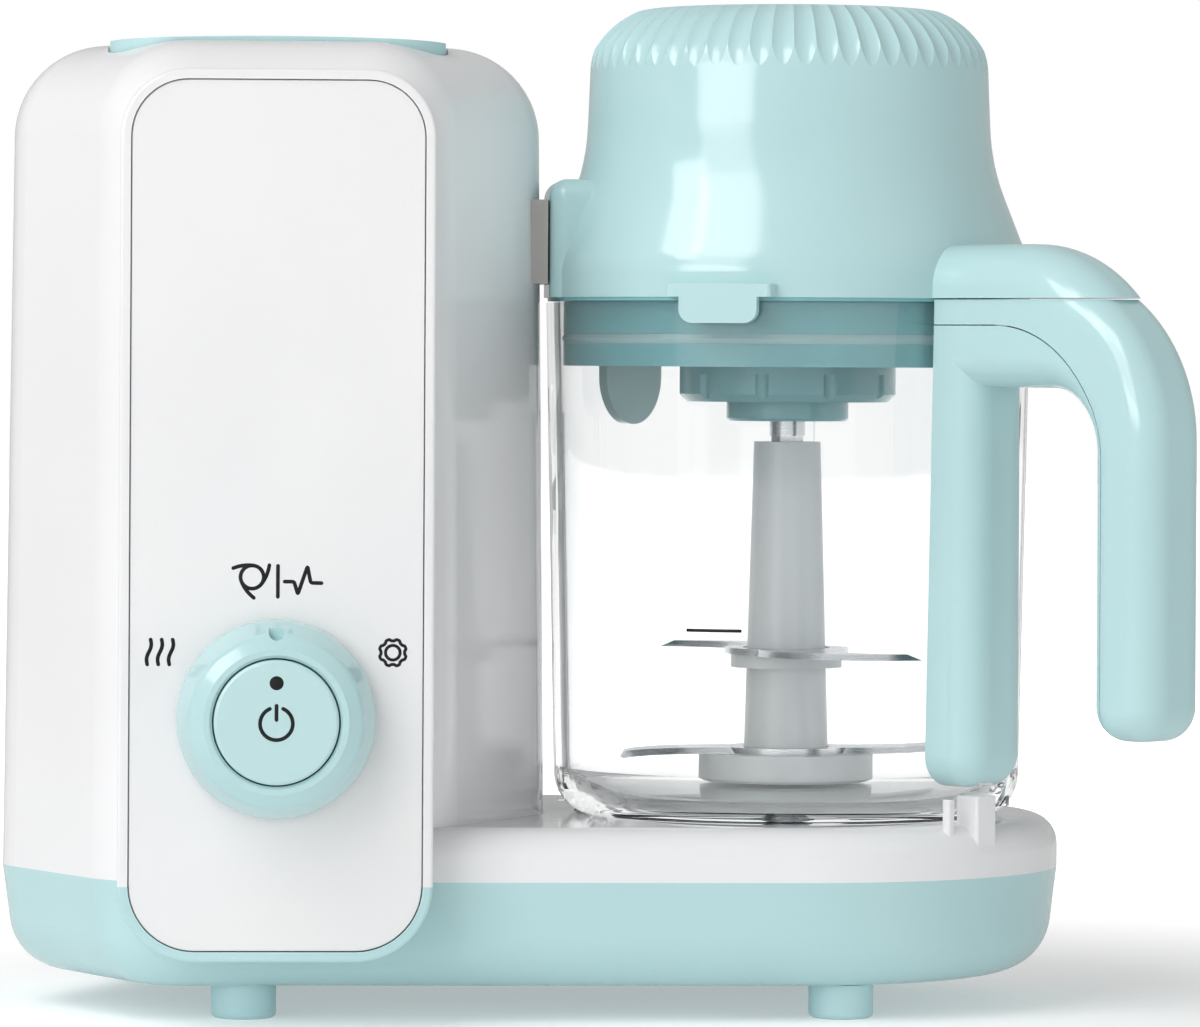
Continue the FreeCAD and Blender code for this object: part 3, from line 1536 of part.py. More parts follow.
# Motor
def motor():
    seat_z = S.plug_bottom_z + 2 * S.plug_floor
    hole = S.bush_r + S.fit_gap
    inner = S.can_r - S.can_wall
    points = [
        (hole, seat_z),
        (S.can_r, seat_z),
        (S.can_r, S.can_top_z),
        (inner, S.can_top_z),
        (inner, seat_z + S.can_wall),
        (hole, seat_z + S.can_wall),
    ]
    node("motor_can", on_jug(spin("motor_can", points)))
    low_z = S.armature_z
    high_z = low_z + S.armature_length
    near = S.armature_r + S.magnet_gap
    ring = on_jug(spin("magnet_ring", [(near, low_z), (inner, low_z), (inner, high_z), (near, high_z)]))
    split = block("magnet_gap", S.jug_x - S.can_r, S.jug_y - S.magnet_split / 2, low_z - 1, 2 * S.can_r,
                  S.magnet_split, S.armature_length + 2)
    node("field_magnets", cut("field_magnets", ring, split))
    cap_z = S.can_top_z + S.cap_thick
    points = [(hole, S.can_top_z), (S.can_r, S.can_top_z), (S.can_r, cap_z), (hole, cap_z)]
    node("motor_end_cap", on_jug(spin("motor_end_cap", points)))
    bush_bore = S.shaft_r + S.fit_gap
    points = [(bush_bore, seat_z), (S.bush_r, seat_z), (S.bush_r, seat_z + S.bush_length),
              (bush_bore, seat_z + S.bush_length)]
    node("lower_bush", on_jug(spin("lower_bush", points)))
    flange_z = cap_z + S.bush_flange
    points = [
        (bush_bore, cap_z - S.bush_length),
        (S.bush_r, cap_z - S.bush_length),
        (S.bush_r, cap_z),
        (S.bush_flange_r, cap_z),
        (S.bush_flange_r, flange_z),
        (bush_bore, flange_z),
    ]
    node("upper_bush", on_jug(spin("upper_bush", points)))


# Rotor: shaft, armature and fan
def hexagon(radius):
    return [(radius * math.cos(math.radians(60 * step)), radius * math.sin(math.radians(60 * step)))
            for step in range(6)]


def rotor():
    round_z = S.hub_top_z + S.hex_rise
    bevel = S.shaft_r / 5
    shaft = spin("drive_shaft", [
        (0, round_z),
        (S.shaft_r, round_z),
        (S.shaft_r, S.shaft_top_z - bevel),
        (S.shaft_r - bevel, S.shaft_top_z),
        (0, S.shaft_top_z),
    ])
    drive = draw(new_sketch(shaft, "XY_Plane", S.shaft_bottom_z), hexagon(S.drive_hex_r))
    extrude(shaft, drive, round_z - S.shaft_bottom_z)
    node("drive_shaft", on_jug(shaft))
    low_z = S.armature_z
    high_z = low_z + S.armature_length
    stack = spin("armature", [
        (S.shaft_r, low_z - S.winding_length),
        (S.winding_r, low_z - S.winding_length),
        (S.winding_r, low_z),
        (S.armature_r, low_z),
        (S.armature_r, high_z),
        (S.winding_r, high_z),
        (S.winding_r, high_z + S.winding_length),
        (S.shaft_r, high_z + S.winding_length),
    ])
    half = S.slot_width / 2
    floor = S.armature_r - S.slot_depth
    outline = [(floor, -half), (2 * S.armature_r, -half), (2 * S.armature_r, half), (floor, half)]
    slot = extrude(stack, draw(new_sketch(stack, "XY_Plane", low_z - 1), outline), S.armature_length + 2,
                   kind="Pocket", back=True)
    polar(stack, slot, S.armature_slots)
    node("armature", on_jug(stack))
    low_z = S.can_top_z + S.cap_thick + S.fan_lift
    high_z = low_z + S.fan_height
    fan = spin("cooling_fan", [
        (S.shaft_r, low_z),
        (S.fan_hub_r, low_z),
        (S.fan_hub_r, high_z),
        (S.shaft_r, high_z),
    ])
    half = S.fan_blade_thick / 2
    root = S.fan_hub_r - half
    outline = [(root, -half), (S.fan_r, S.fan_r / 4 - half), (S.fan_r, S.fan_r / 4 + half), (root, half)]
    vane = extrude(fan, draw(new_sketch(fan, "XY_Plane", low_z), outline), S.fan_height)
    polar(fan, vane, S.fan_blades)
    node("cooling_fan", on_jug(fan))


# Blade: hub and two tiers of cutters
def blade_hub():
    base_z = JUG_FLOOR_Z + S.hub_lift
    disc_z = base_z + S.hub_disc_height
    slope = (S.hub_root_r - S.hub_r) / (S.hub_top_z - disc_z)
    collar_z = S.upper_blade_z - S.collar_height
    bore = S.pivot_r + S.rod_gap
    bore_z = S.pivot_top_z + 2
    edge = S.hub_disc_r / 12
    hub = spin("blade_hub", [
        (bore, base_z),
        (S.hub_disc_r - edge, base_z),
        (S.hub_disc_r, base_z + edge),
        (S.hub_disc_r, disc_z),
        (S.hub_root_r, disc_z),
        (S.hub_root_r - slope * (collar_z - disc_z), collar_z),
        (S.collar_r, collar_z),
        (S.collar_r, S.upper_blade_z),
        (S.hub_root_r - slope * (S.upper_blade_z - disc_z), S.upper_blade_z),
        (S.hub_r, S.hub_top_z),
        (0, S.hub_top_z),
        (0, bore_z),
        (bore, bore_z),
    ])
    socket = draw(new_sketch(hub, "XY_Plane", S.hub_top_z), hexagon(S.drive_hex_r + S.drive_gap))
    extrude(hub, socket, S.drive_depth, kind="Pocket")
    node("blade_hub", on_jug(hub))
    cutter("lower_blade", disc_z, S.blade_r, 0)
    cutter("upper_blade", S.upper_blade_z, S.upper_blade_r, 90)


def cutter(name, low_z, reach, turn):
    """A ring on the hub with two crescent wings, ground along their edges."""
    bore = S.hub_root_r + S.fit_gap
    top_z = low_z + S.blade_thick
    body = spin(name, [(bore, low_z), (S.blade_ring_r, low_z), (S.blade_ring_r, top_z), (bore, top_z)])
    lead = (S.blade_root_x, reach * S.blade_lead_y)
    trail = (reach * S.blade_trail_x, reach * S.blade_trail_y)
    outline = [
        (S.blade_root_x, -S.blade_root),
        (reach * S.blade_tip_x, Free(reach * S.blade_tip_y)),
        (S.blade_root_x, Free(S.blade_root)),
    ]
    sketch = draw(new_sketch(body, "XY_Plane", low_z), outline, {0: lead, 1: trail})
    polar(body, extrude(body, sketch, S.blade_thick, taper=-S.blade_grind), 2)
    node(name, place(body, S.jug_x, S.jug_y, 0, (0, 0, 1), turn))


motor()
rotor()
blade_hub()


# Checks and export
doc.recompute()
for item in doc.Objects:
    if "Invalid" in item.State or "Error" in item.State:
        raise RuntimeError(f"{item.Label}: {item.State}")
for name, item in NODES.items():
    if item.Shape.isNull() or not item.Shape.isValid() or not item.Shape.Solids:
        raise RuntimeError(f"{name}: no valid solid")
os.makedirs("parts", exist_ok=True)
for name, item in NODES.items():
    item.Shape.exportStep(f"parts/{name}.step")
    print(name, len(item.Shape.Solids), round(item.Shape.Volume))
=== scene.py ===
import logging
import math
from dataclasses import dataclass, field
from enum import Enum

import bmesh
import bpy
from mathutils import Matrix, Vector


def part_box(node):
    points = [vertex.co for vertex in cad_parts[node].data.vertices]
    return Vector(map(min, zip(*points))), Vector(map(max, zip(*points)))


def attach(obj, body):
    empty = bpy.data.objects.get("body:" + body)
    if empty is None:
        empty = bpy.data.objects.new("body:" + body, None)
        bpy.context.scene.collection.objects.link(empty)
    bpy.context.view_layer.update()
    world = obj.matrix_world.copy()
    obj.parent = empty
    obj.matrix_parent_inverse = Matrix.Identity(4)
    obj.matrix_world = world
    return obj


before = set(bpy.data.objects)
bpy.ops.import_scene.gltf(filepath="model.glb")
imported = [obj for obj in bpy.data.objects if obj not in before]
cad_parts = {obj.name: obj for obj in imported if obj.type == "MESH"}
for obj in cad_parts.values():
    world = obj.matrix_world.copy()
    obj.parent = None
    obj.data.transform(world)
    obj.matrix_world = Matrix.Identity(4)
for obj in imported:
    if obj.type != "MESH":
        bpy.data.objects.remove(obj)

logging.basicConfig(level=logging.INFO, format="%(name)s: %(message)s")
LOG = logging.getLogger("food_maker")
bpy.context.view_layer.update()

Color = tuple[float, float, float]
Point = tuple[float, float]


def srgb(red: int, green: int, blue: int) -> Color:
    """Turns a display colour into scene-linear light.

    Args:
        red: Display value from 0 to 255.
        green: Display value from 0 to 255.
        blue: Display value from 0 to 255.

    Returns:
        The linear colour.
    """
    def linear(value: int) -> float:
        """Undoes the display curve of one channel."""
        part = value / 255
        return part / 12.92 if part <= 0.04045 else ((part + 0.055) / 1.055) ** 2.4
    return (linear(red), linear(green), linear(blue))


def mm(value: float) -> float:
    """Millimetres as metres."""
    return value / 1000


class Graph:
    """Adds and joins the nodes of one shader tree."""

    def __init__(self, tree: bpy.types.NodeTree) -> None:
        """Keeps the tree that the nodes go into."""
        self.tree = tree

    def add(self, kind: str, inputs: dict | None = None, **settings: object) -> bpy.types.Node:
        """Adds a node.

        Args:
            kind: Node type, without its ShaderNode prefix.
            inputs: Values or sockets by input name or index.
            settings: Node properties.

        Returns:
            The new node.
        """
        node = self.tree.nodes.new(f"ShaderNode{kind}")
        for name, value in settings.items():
            setattr(node, name, value)
        for name, value in (inputs or {}).items():
            socket = node.inputs[name]
            if isinstance(value, bpy.types.NodeSocket):
                self.tree.links.new(value, socket)
            else:
                socket.default_value = value
        return node

    def math(self, operation: str, first: object, second: object = 0.0) -> bpy.types.NodeSocket:
        """Adds a Math node.

        Args:
            operation: Math operation.
            first: Value or socket.
            second: Value or socket.

        Returns:
            The node's output socket.
        """
        return self.add("Math", {0: first, 1: second}, operation=operation).outputs[0]

    def spread(self, value: bpy.types.NodeSocket, low: object, high: object,
               out_low: object = 0.0, out_high: object = 1.0) -> bpy.types.NodeSocket:
        """Maps a value from one range to another.

        Args:
            value: Socket to map.
            low: Start of the range that comes in.
            high: End of the range that comes in.
            out_low: Start of the range that goes out.
            out_high: End of the range that goes out.

        Returns:
            The mapped socket.
        """
        node = self.add("MapRange", {"Value": value, "From Min": low, "From Max": high,
                                     "To Min": out_low, "To Max": out_high})
        return node.outputs["Result"]

    def mix(self, factor: bpy.types.NodeSocket, first: object, second: object) -> bpy.types.NodeSocket:
        """Mixes two colours.

        Args:
            factor: Share of the second colour.
            first: Colour or socket.
            second: Colour or socket.

        Returns:
            The mixed colour's socket.
        """
        node = self.add("Mix", data_type="RGBA")
        for index, value in ((0, factor), (6, first), (7, second)):
            if isinstance(value, bpy.types.NodeSocket):
                self.tree.links.new(value, node.inputs[index])
            else:
                node.inputs[index].default_value = (*value, 1.0)
        return node.outputs[2]


class Effects:
    """The shader groups that several finishes share, each built once."""

    NOISE_BAND: tuple[float, float] = (0.3, 0.7)
    PATCH_SCALE: float = 140.0
    CORNER_BAND: tuple[float, float] = (0.995, 0.8)
    BREAK_BAND: tuple[float, float] = (0.35, 0.65)
    DRAWN_STRETCH: tuple[float, float, float] = (0.02, 0.02, 1.0)
    STAIN_SCALE: float = 60.0
    STAIN_BAND: tuple[float, float] = (0.2, 0.8)
    STAIN_SHARE: tuple[float, float] = (0.6, 1.2)

    _made: dict[str, bpy.types.NodeTree] = {}

    @classmethod
    def _open(cls, name: str, inputs: dict[str, float], outputs: tuple[str, ...]) -> tuple:
        """Starts a group with named sockets.

        Args:
            name: Name of the group.
            inputs: Input names with their first values.
            outputs: Output names.

        Returns:
            The graph, the group's input node and its output node.
        """
        tree = bpy.data.node_groups.new(name, "ShaderNodeTree")
        for label, value in inputs.items():
            socket = tree.interface.new_socket(label, in_out="INPUT", socket_type="NodeSocketFloat")
            socket.default_value = value
        for label in outputs:
            tree.interface.new_socket(label, in_out="OUTPUT", socket_type="NodeSocketFloat")
        cls._made[name] = tree
        return Graph(tree), tree.nodes.new("NodeGroupInput"), tree.nodes.new("NodeGroupOutput")

    @classmethod
    def moulded_skin(cls) -> bpy.types.NodeTree:
        """The fine orange peel, slow flow shading and uneven gloss of a moulding.

        Returns:
            A group with the outputs Height, Gloss and Flow.
        """
        name = "moulded_skin"
        if name in cls._made:
            return cls._made[name]
        graph, inside, out = cls._open(name, {"Grain Scale": 900.0, "Flow Scale": 18.0},
                                       ("Height", "Gloss", "Flow"))
        place = graph.add("TexCoord").outputs["Object"]
        grain = graph.add("TexNoise", {
            "Vector": place, "Scale": inside.outputs["Grain Scale"], "Detail": 2.0})
        patch = graph.add("TexNoise", {
            "Vector": place, "Scale": cls.PATCH_SCALE, "Detail": 4.0, "Roughness": 0.6})
        flow = graph.add("TexNoise", {
            "Vector": place, "Scale": inside.outputs["Flow Scale"], "Detail": 1.0, "Distortion": 0.6})
        graph.tree.links.new(grain.outputs["Fac"], out.inputs["Height"])
        graph.tree.links.new(graph.spread(patch.outputs["Fac"], *cls.NOISE_BAND), out.inputs["Gloss"])
        graph.tree.links.new(graph.spread(flow.outputs["Fac"], *cls.NOISE_BAND), out.inputs["Flow"])
        return cls._made[name]

    @classmethod
    def edge_wear(cls) -> bpy.types.NodeTree:
        """Where corners are rubbed, broken up by a fine noise.

        Returns:
            A group with the output Edge.
        """
        name = "edge_wear"
        if name in cls._made:
            return cls._made[name]
        graph, inside, out = cls._open(name, {"Width": mm(0.6), "Break Up": 420.0}, ("Edge",))
        place = graph.add("TexCoord").outputs["Object"]
        soft = graph.add("Bevel", {"Radius": inside.outputs["Width"]}, samples=4)
        plain = graph.add("NewGeometry")
        turn = graph.add("VectorMath", {0: soft.outputs["Normal"], 1: plain.outputs["Normal"]},
                         operation="DOT_PRODUCT")
        edge = graph.spread(turn.outputs["Value"], *cls.CORNER_BAND)
        noise = graph.add("TexNoise", {
            "Vector": place, "Scale": inside.outputs["Break Up"], "Detail": 3.0})
        worn = graph.math("MULTIPLY", edge, graph.spread(noise.outputs["Fac"], *cls.BREAK_BAND))
        graph.tree.links.new(worn, out.inputs["Edge"])
        return cls._made[name]

    @classmethod
    def drawn_lines(cls) -> bpy.types.NodeTree:
        """Fine lines of a turned or drawn metal, running round the upright axis.

        Returns:
            A group with the outputs Height and Streak.
        """
        name = "drawn_lines"
        if name in cls._made:
            return cls._made[name]
        graph, inside, out = cls._open(name, {"Line Scale": 2600.0}, ("Height", "Streak"))
        place = graph.add("TexCoord").outputs["Object"]
        stretched = graph.add("Mapping", {"Vector": place, "Scale": cls.DRAWN_STRETCH})
        lines = graph.add("TexNoise", {
            "Vector": stretched.outputs["Vector"], "Scale": inside.outputs["Line Scale"],
            "Detail": 3.0, "Roughness": 0.7})
        stain = graph.add("TexNoise", {"Vector": place, "Scale": cls.STAIN_SCALE, "Detail": 3.0})
        stained = graph.spread(stain.outputs["Fac"], *cls.STAIN_BAND, *cls.STAIN_SHARE)
        streak = graph.math("MULTIPLY", lines.outputs["Fac"], stained)
        graph.tree.links.new(lines.outputs["Fac"], out.inputs["Height"])
        graph.tree.links.new(streak, out.inputs["Streak"])
        return cls._made[name]


class Finish:
    """A material that is made once and then shared."""

    name: str

    def material(self) -> bpy.types.Material:
        """Gives the material, building it at its first use.

        Returns:
            The material.
        """
        found = bpy.data.materials.get(self.name)
        if found is not None and found.get("own"):
            return found
        made = bpy.data.materials.new(self.name)
        made["own"] = True
        made.use_nodes = True
        graph = Graph(made.node_tree)
        self.shade(graph, made.node_tree.nodes["Principled BSDF"])
        return made

    def shade(self, graph: Graph, shader: bpy.types.Node) -> None:
        """Fills in the material's nodes."""
        raise NotImplementedError


def use_group(graph: Graph, tree: bpy.types.NodeTree, **values: float) -> bpy.types.Node:
    """Places a shared group in a material.

    Args:
        graph: The material's graph.
        tree: The group.
        values: Input values, with underscores for spaces.

    Returns:
        The group's node.
    """
    node = graph.tree.nodes.new("ShaderNodeGroup")
    node.node_tree = tree
    for label, value in values.items():
        node.inputs[label.replace("_", " ").title()].default_value = value
    return node


@dataclass(frozen=True)
class Moulded(Finish):
    """Injection-moulded plastic, from satin to full gloss."""

    name: str
    color: Color
    shade_color: Color
    rub_color: Color
    gloss: tuple[float, float] = (0.16, 0.24)
    grain_scale: float = 900.0
    grain_depth: float = 0.02
    relief: float = mm(0.4)
    rub_share: float = 0.35
    rub_rough: float = 0.12
    satin_above: float | None = None
    satin_fade: float = mm(0.3)
    satin: float = 0.5
    index: float = 1.5

    def shade(self, graph: Graph, shader: bpy.types.Node) -> None:
        """Colour from flow and rubbed corners, gloss from patches, relief from the grain."""
        skin = use_group(graph, Effects.moulded_skin(), grain_scale=self.grain_scale)
        wear = use_group(graph, Effects.edge_wear())
        flowing = graph.mix(skin.outputs["Flow"], self.color, self.shade_color)
        rubbed = graph.math("MULTIPLY", wear.outputs["Edge"], self.rub_share)
        graph.tree.links.new(graph.mix(rubbed, flowing, self.rub_color), shader.inputs["Base Color"])
        rough = graph.spread(skin.outputs["Gloss"], 0.0, 1.0, *self.gloss)
        rougher = graph.math("ADD", rough, graph.math("MULTIPLY", wear.outputs["Edge"], self.rub_rough))
        if self.satin_above is not None:
            place = graph.add("TexCoord").outputs["Object"]
            height = graph.add("SeparateXYZ", {0: place}).outputs["Z"]
            crown = graph.spread(height, self.satin_above, self.satin_above + self.satin_fade)
            rougher = graph.math("MAXIMUM", rougher, graph.math("MULTIPLY", crown, self.satin))
        graph.tree.links.new(rougher, shader.inputs["Roughness"])
        bump = graph.add("Bump", {
            "Height": skin.outputs["Height"], "Strength": self.grain_depth, "Distance": self.relief})
        graph.tree.links.new(bump.outputs["Normal"], shader.inputs["Normal"])
        shader.inputs["IOR"].default_value = self.index


@dataclass(frozen=True)
class ClearWall(Finish):
    """Clear plastic with faint flow lines and tiny scuffs."""

    name: str
    tint: Color
    flow_tint: Color
    gloss: tuple[float, float] = (0.0, 0.03)
    grain_scale: float = 260.0
    flow_scale: float = 24.0
    depth: float = 0.02
    relief: float = mm(0.6)
    index: float = 1.45

    def shade(self, graph: Graph, shader: bpy.types.Node) -> None:
        """A clear body whose gloss is broken by faint scuffs and which lets the light through."""
        skin = use_group(graph, Effects.moulded_skin(),
                         grain_scale=self.grain_scale, flow_scale=self.flow_scale)
        shader.inputs["Transmission Weight"].default_value = 1.0
        shader.inputs["IOR"].default_value = self.index
        flowing = graph.mix(skin.outputs["Flow"], self.tint, self.flow_tint)
        graph.tree.links.new(flowing, shader.inputs["Base Color"])
        scuffed = graph.spread(skin.outputs["Gloss"], 0.0, 1.0, *self.gloss)
        graph.tree.links.new(scuffed, shader.inputs["Roughness"])
        bump = graph.add("Bump", {
            "Height": skin.outputs["Flow"], "Strength": self.depth, "Distance": self.relief})
        graph.tree.links.new(bump.outputs["Normal"], shader.inputs["Normal"])
        open_way = graph.add("BsdfTransparent", {"Color": (*self.tint, 1.0)})
        path = graph.add("LightPath")
        both = graph.add("MixShader", {
            0: path.outputs["Is Shadow Ray"], 1: shader.outputs["BSDF"], 2: open_way.outputs["BSDF"]})
        surface = graph.tree.nodes["Material Output"].inputs["Surface"]
        graph.tree.links.new(both.outputs["Shader"], surface)


@dataclass(frozen=True)
class Metal(Finish):
    """Turned, drawn or cast metal."""

    name: str
    color: Color
    stain: Color
    gloss: tuple[float, float] = (0.18, 0.36)
    line_scale: float = 2600.0
    streak_band: tuple[float, float] = (0.2, 0.8)
    polish: float = 1.15
    depth: float = 0.08
    relief: float = mm(0.2)

    def shade(self, graph: Graph, shader: bpy.types.Node) -> None:
        """Colour and gloss follow the lines, corners are polished by wear."""
        lines = use_group(graph, Effects.drawn_lines(), line_scale=self.line_scale)
        wear = use_group(graph, Effects.edge_wear())
        worn = graph.mix(lines.outputs["Streak"], self.stain, self.color)
        bright = tuple(min(1.0, part * self.polish) for part in self.color)
        graph.tree.links.new(graph.mix(wear.outputs["Edge"], worn, bright), shader.inputs["Base Color"])
        streaked = graph.spread(lines.outputs["Streak"], *self.streak_band, *self.gloss)
        graph.tree.links.new(streaked, shader.inputs["Roughness"])
        bump = graph.add("Bump", {
            "Height": lines.outputs["Height"], "Strength": self.depth, "Distance": self.relief})
        graph.tree.links.new(bump.outputs["Normal"], shader.inputs["Normal"])
        shader.inputs["Metallic"].default_value = 1.0


@dataclass(frozen=True)
class Printed(Finish):
    """Pad-printed ink with slightly uneven cover."""

    name: str
    color: Color
    thin: Color
    thinning: float = 0.4
    gloss: tuple[float, float] = (0.4, 0.52)
    grain_scale: float = 2400.0
    flow_scale: float = 300.0
    specular: float = 0.2

    def shade(self, graph: Graph, shader: bpy.types.Node) -> None:
        """Ink that thins a little in places and dries satin."""
        skin = use_group(graph, Effects.moulded_skin(),
                         grain_scale=self.grain_scale, flow_scale=self.flow_scale)
        thinner = graph.math("MULTIPLY", skin.outputs["Flow"], self.thinning)
        graph.tree.links.new(graph.mix(thinner, self.color, self.thin), shader.inputs["Base Color"])
        dried = graph.spread(skin.outputs["Gloss"], 0.0, 1.0, *self.gloss)
        graph.tree.links.new(dried, shader.inputs["Roughness"])
        shader.inputs["Specular IOR Level"].default_value = self.specular


AQUA = srgb(187, 221, 223)
AQUA_DEEP = srgb(183, 217, 219)
AQUA_RUB = srgb(208, 233, 234)


class Surface(Enum):
    """The finishes of this machine."""

    AQUA_GLOSS = Moulded("aqua_gloss", AQUA, AQUA_DEEP, AQUA_RUB, gloss=(0.11, 0.15), grain_depth=0.012)
    AQUA_CROWN = Moulded("aqua_crown", AQUA, AQUA_DEEP, AQUA_RUB, gloss=(0.11, 0.15), grain_depth=0.012,
                         satin_above=mm(222.0))
    AQUA_FLAT = Moulded("aqua_flat", AQUA, AQUA_DEEP, AQUA_RUB, gloss=(0.46, 0.52), grain_depth=0.05)
    AQUA_SATIN = Moulded("aqua_satin", srgb(190, 222, 223), srgb(187, 219, 220), AQUA_RUB,
                         gloss=(0.28, 0.36), grain_depth=0.05)
    # Painted shade: a deeper, darker aqua that stands in for the shade falling on the lid's inner parts
    # under the dome and behind the jug wall.
    AQUA_PAINTED_SHADE = Moulded("aqua_painted_shade", srgb(128, 186, 191), srgb(122, 180, 186), srgb(156, 204, 208),
                         gloss=(0.2, 0.26))
    # Painted light: the feet get a lighter aqua than the body, standing in for the light that the shade
    # under the base keeps from them.
    AQUA_FOOT_PAINTED_LIGHT = Moulded("aqua_foot_painted_light", srgb(192, 225, 228), srgb(187, 220, 223), AQUA_RUB,
                        gloss=(0.4, 0.52), grain_scale=1600.0, grain_depth=0.12)
    WHITE_GLOSS = Moulded("white_gloss", srgb(238, 238, 239), srgb(235, 235, 236), srgb(245, 245, 245),
                          gloss=(0.08, 0.14), grain_depth=0.01)
    WHITE_SATIN = Moulded("white_satin", srgb(237, 237, 237), srgb(234, 234, 235), srgb(245, 245, 245),
                          gloss=(0.3, 0.33), grain_scale=1500.0, grain_depth=0.04)
    MILKY = Moulded("milky_plastic", srgb(226, 230, 231), srgb(216, 221, 223), srgb(240, 242, 242),
                    gloss=(0.3, 0.42), grain_depth=0.04)
    SEAL = Moulded("seal_silicone", srgb(178, 209, 212), srgb(170, 202, 205), srgb(204, 224, 226),
                   gloss=(0.5, 0.62), grain_scale=1800.0, grain_depth=0.12)
    DARK = Moulded("dark_plastic", srgb(46, 47, 49), srgb(38, 39, 41), srgb(82, 83, 85),
                   gloss=(0.4, 0.52), grain_scale=1800.0, grain_depth=0.12)
    GREY = Moulded("coupling_grey", srgb(178, 175, 171), srgb(168, 165, 161), srgb(200, 198, 195),
                   gloss=(0.3, 0.4), grain_scale=1600.0, grain_depth=0.08)
    BOARD = Moulded("board_laminate", srgb(42, 104, 66), srgb(34, 88, 56), srgb(90, 140, 100),
                    gloss=(0.3, 0.42), grain_scale=2600.0, grain_depth=0.06)
    CLEAR = ClearWall("clear_wall", tint=(0.975, 0.985, 0.985), flow_tint=(0.99, 0.995, 0.995))
    STEEL = Metal("turned_steel", srgb(214, 216, 219), srgb(176, 179, 183))
    CAN = Metal("drawn_can", srgb(172, 174, 178), srgb(138, 141, 146), gloss=(0.3, 0.46))
    CAST = Metal("cast_alloy", srgb(176, 178, 180), srgb(142, 145, 148),
                 gloss=(0.4, 0.58), line_scale=500.0, depth=0.2)
    MAGNET = Metal("magnet_ferrite", srgb(72, 72, 75), srgb(52, 52, 55),
                   gloss=(0.45, 0.6), line_scale=700.0)
    COPPER = Metal("wound_copper", srgb(186, 118, 78), srgb(134, 80, 50),
                   gloss=(0.25, 0.42), line_scale=1400.0, depth=0.4)
    BRASS = Metal("plain_brass", srgb(214, 184, 112), srgb(176, 146, 84))
    INK = Printed("black_ink", srgb(24, 24, 26), srgb(40, 40, 43))


def dress(surface: Surface, *names: str) -> None:
    """Gives a finish to nodes of the frame.

    Args:
        surface: The finish.
        names: Node names.
    """
    for name in names:
        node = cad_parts[name]
        node.data.materials.clear()
        node.data.materials.append(surface.value.material())
        LOG.info("%s gets %s", name, surface.value.name)


class Glow(Enum):
    """What a lamp does, as whether it lights and whether gloss mirrors it."""

    SOFT = (True, False)
    SHINE = (False, True)


@dataclass(frozen=True)
class Lamp:
    """A soft box that faces the object."""

    name: str
    glow: Glow
    place: tuple[float, float, float]
    size: tuple[float, float]
    power: float


LAMPS = (
    Lamp("key", Glow.SOFT, (-0.96, -1.15, 1.0), (1.1, 2.0), 17.0),
    Lamp("sheen", Glow.SHINE, (-0.98, -1.17, 1.05), (0.92, 1.4), 12.0),
    Lamp("streak", Glow.SHINE, (-0.98, -1.17, 0.35), (0.92, 0.21), 3.0),
    Lamp("flare", Glow.SHINE, (-0.82, -1.1, 1.35), (0.92, 0.57), 3.5),
    Lamp("glint", Glow.SHINE, (-1.38, -0.67, 1.16), (0.6, 0.6), 6.0),
    Lamp("top", Glow.SOFT, (-0.8, -0.2, 1.6), (1.2, 1.2), 7.0),
    Lamp("low", Glow.SOFT, (-0.3, -1.9, 0.25), (1.2, 0.4), 3.0),
    Lamp("side", Glow.SOFT, (1.3, -0.6, 0.3), (0.8, 0.6), 2.5),
)


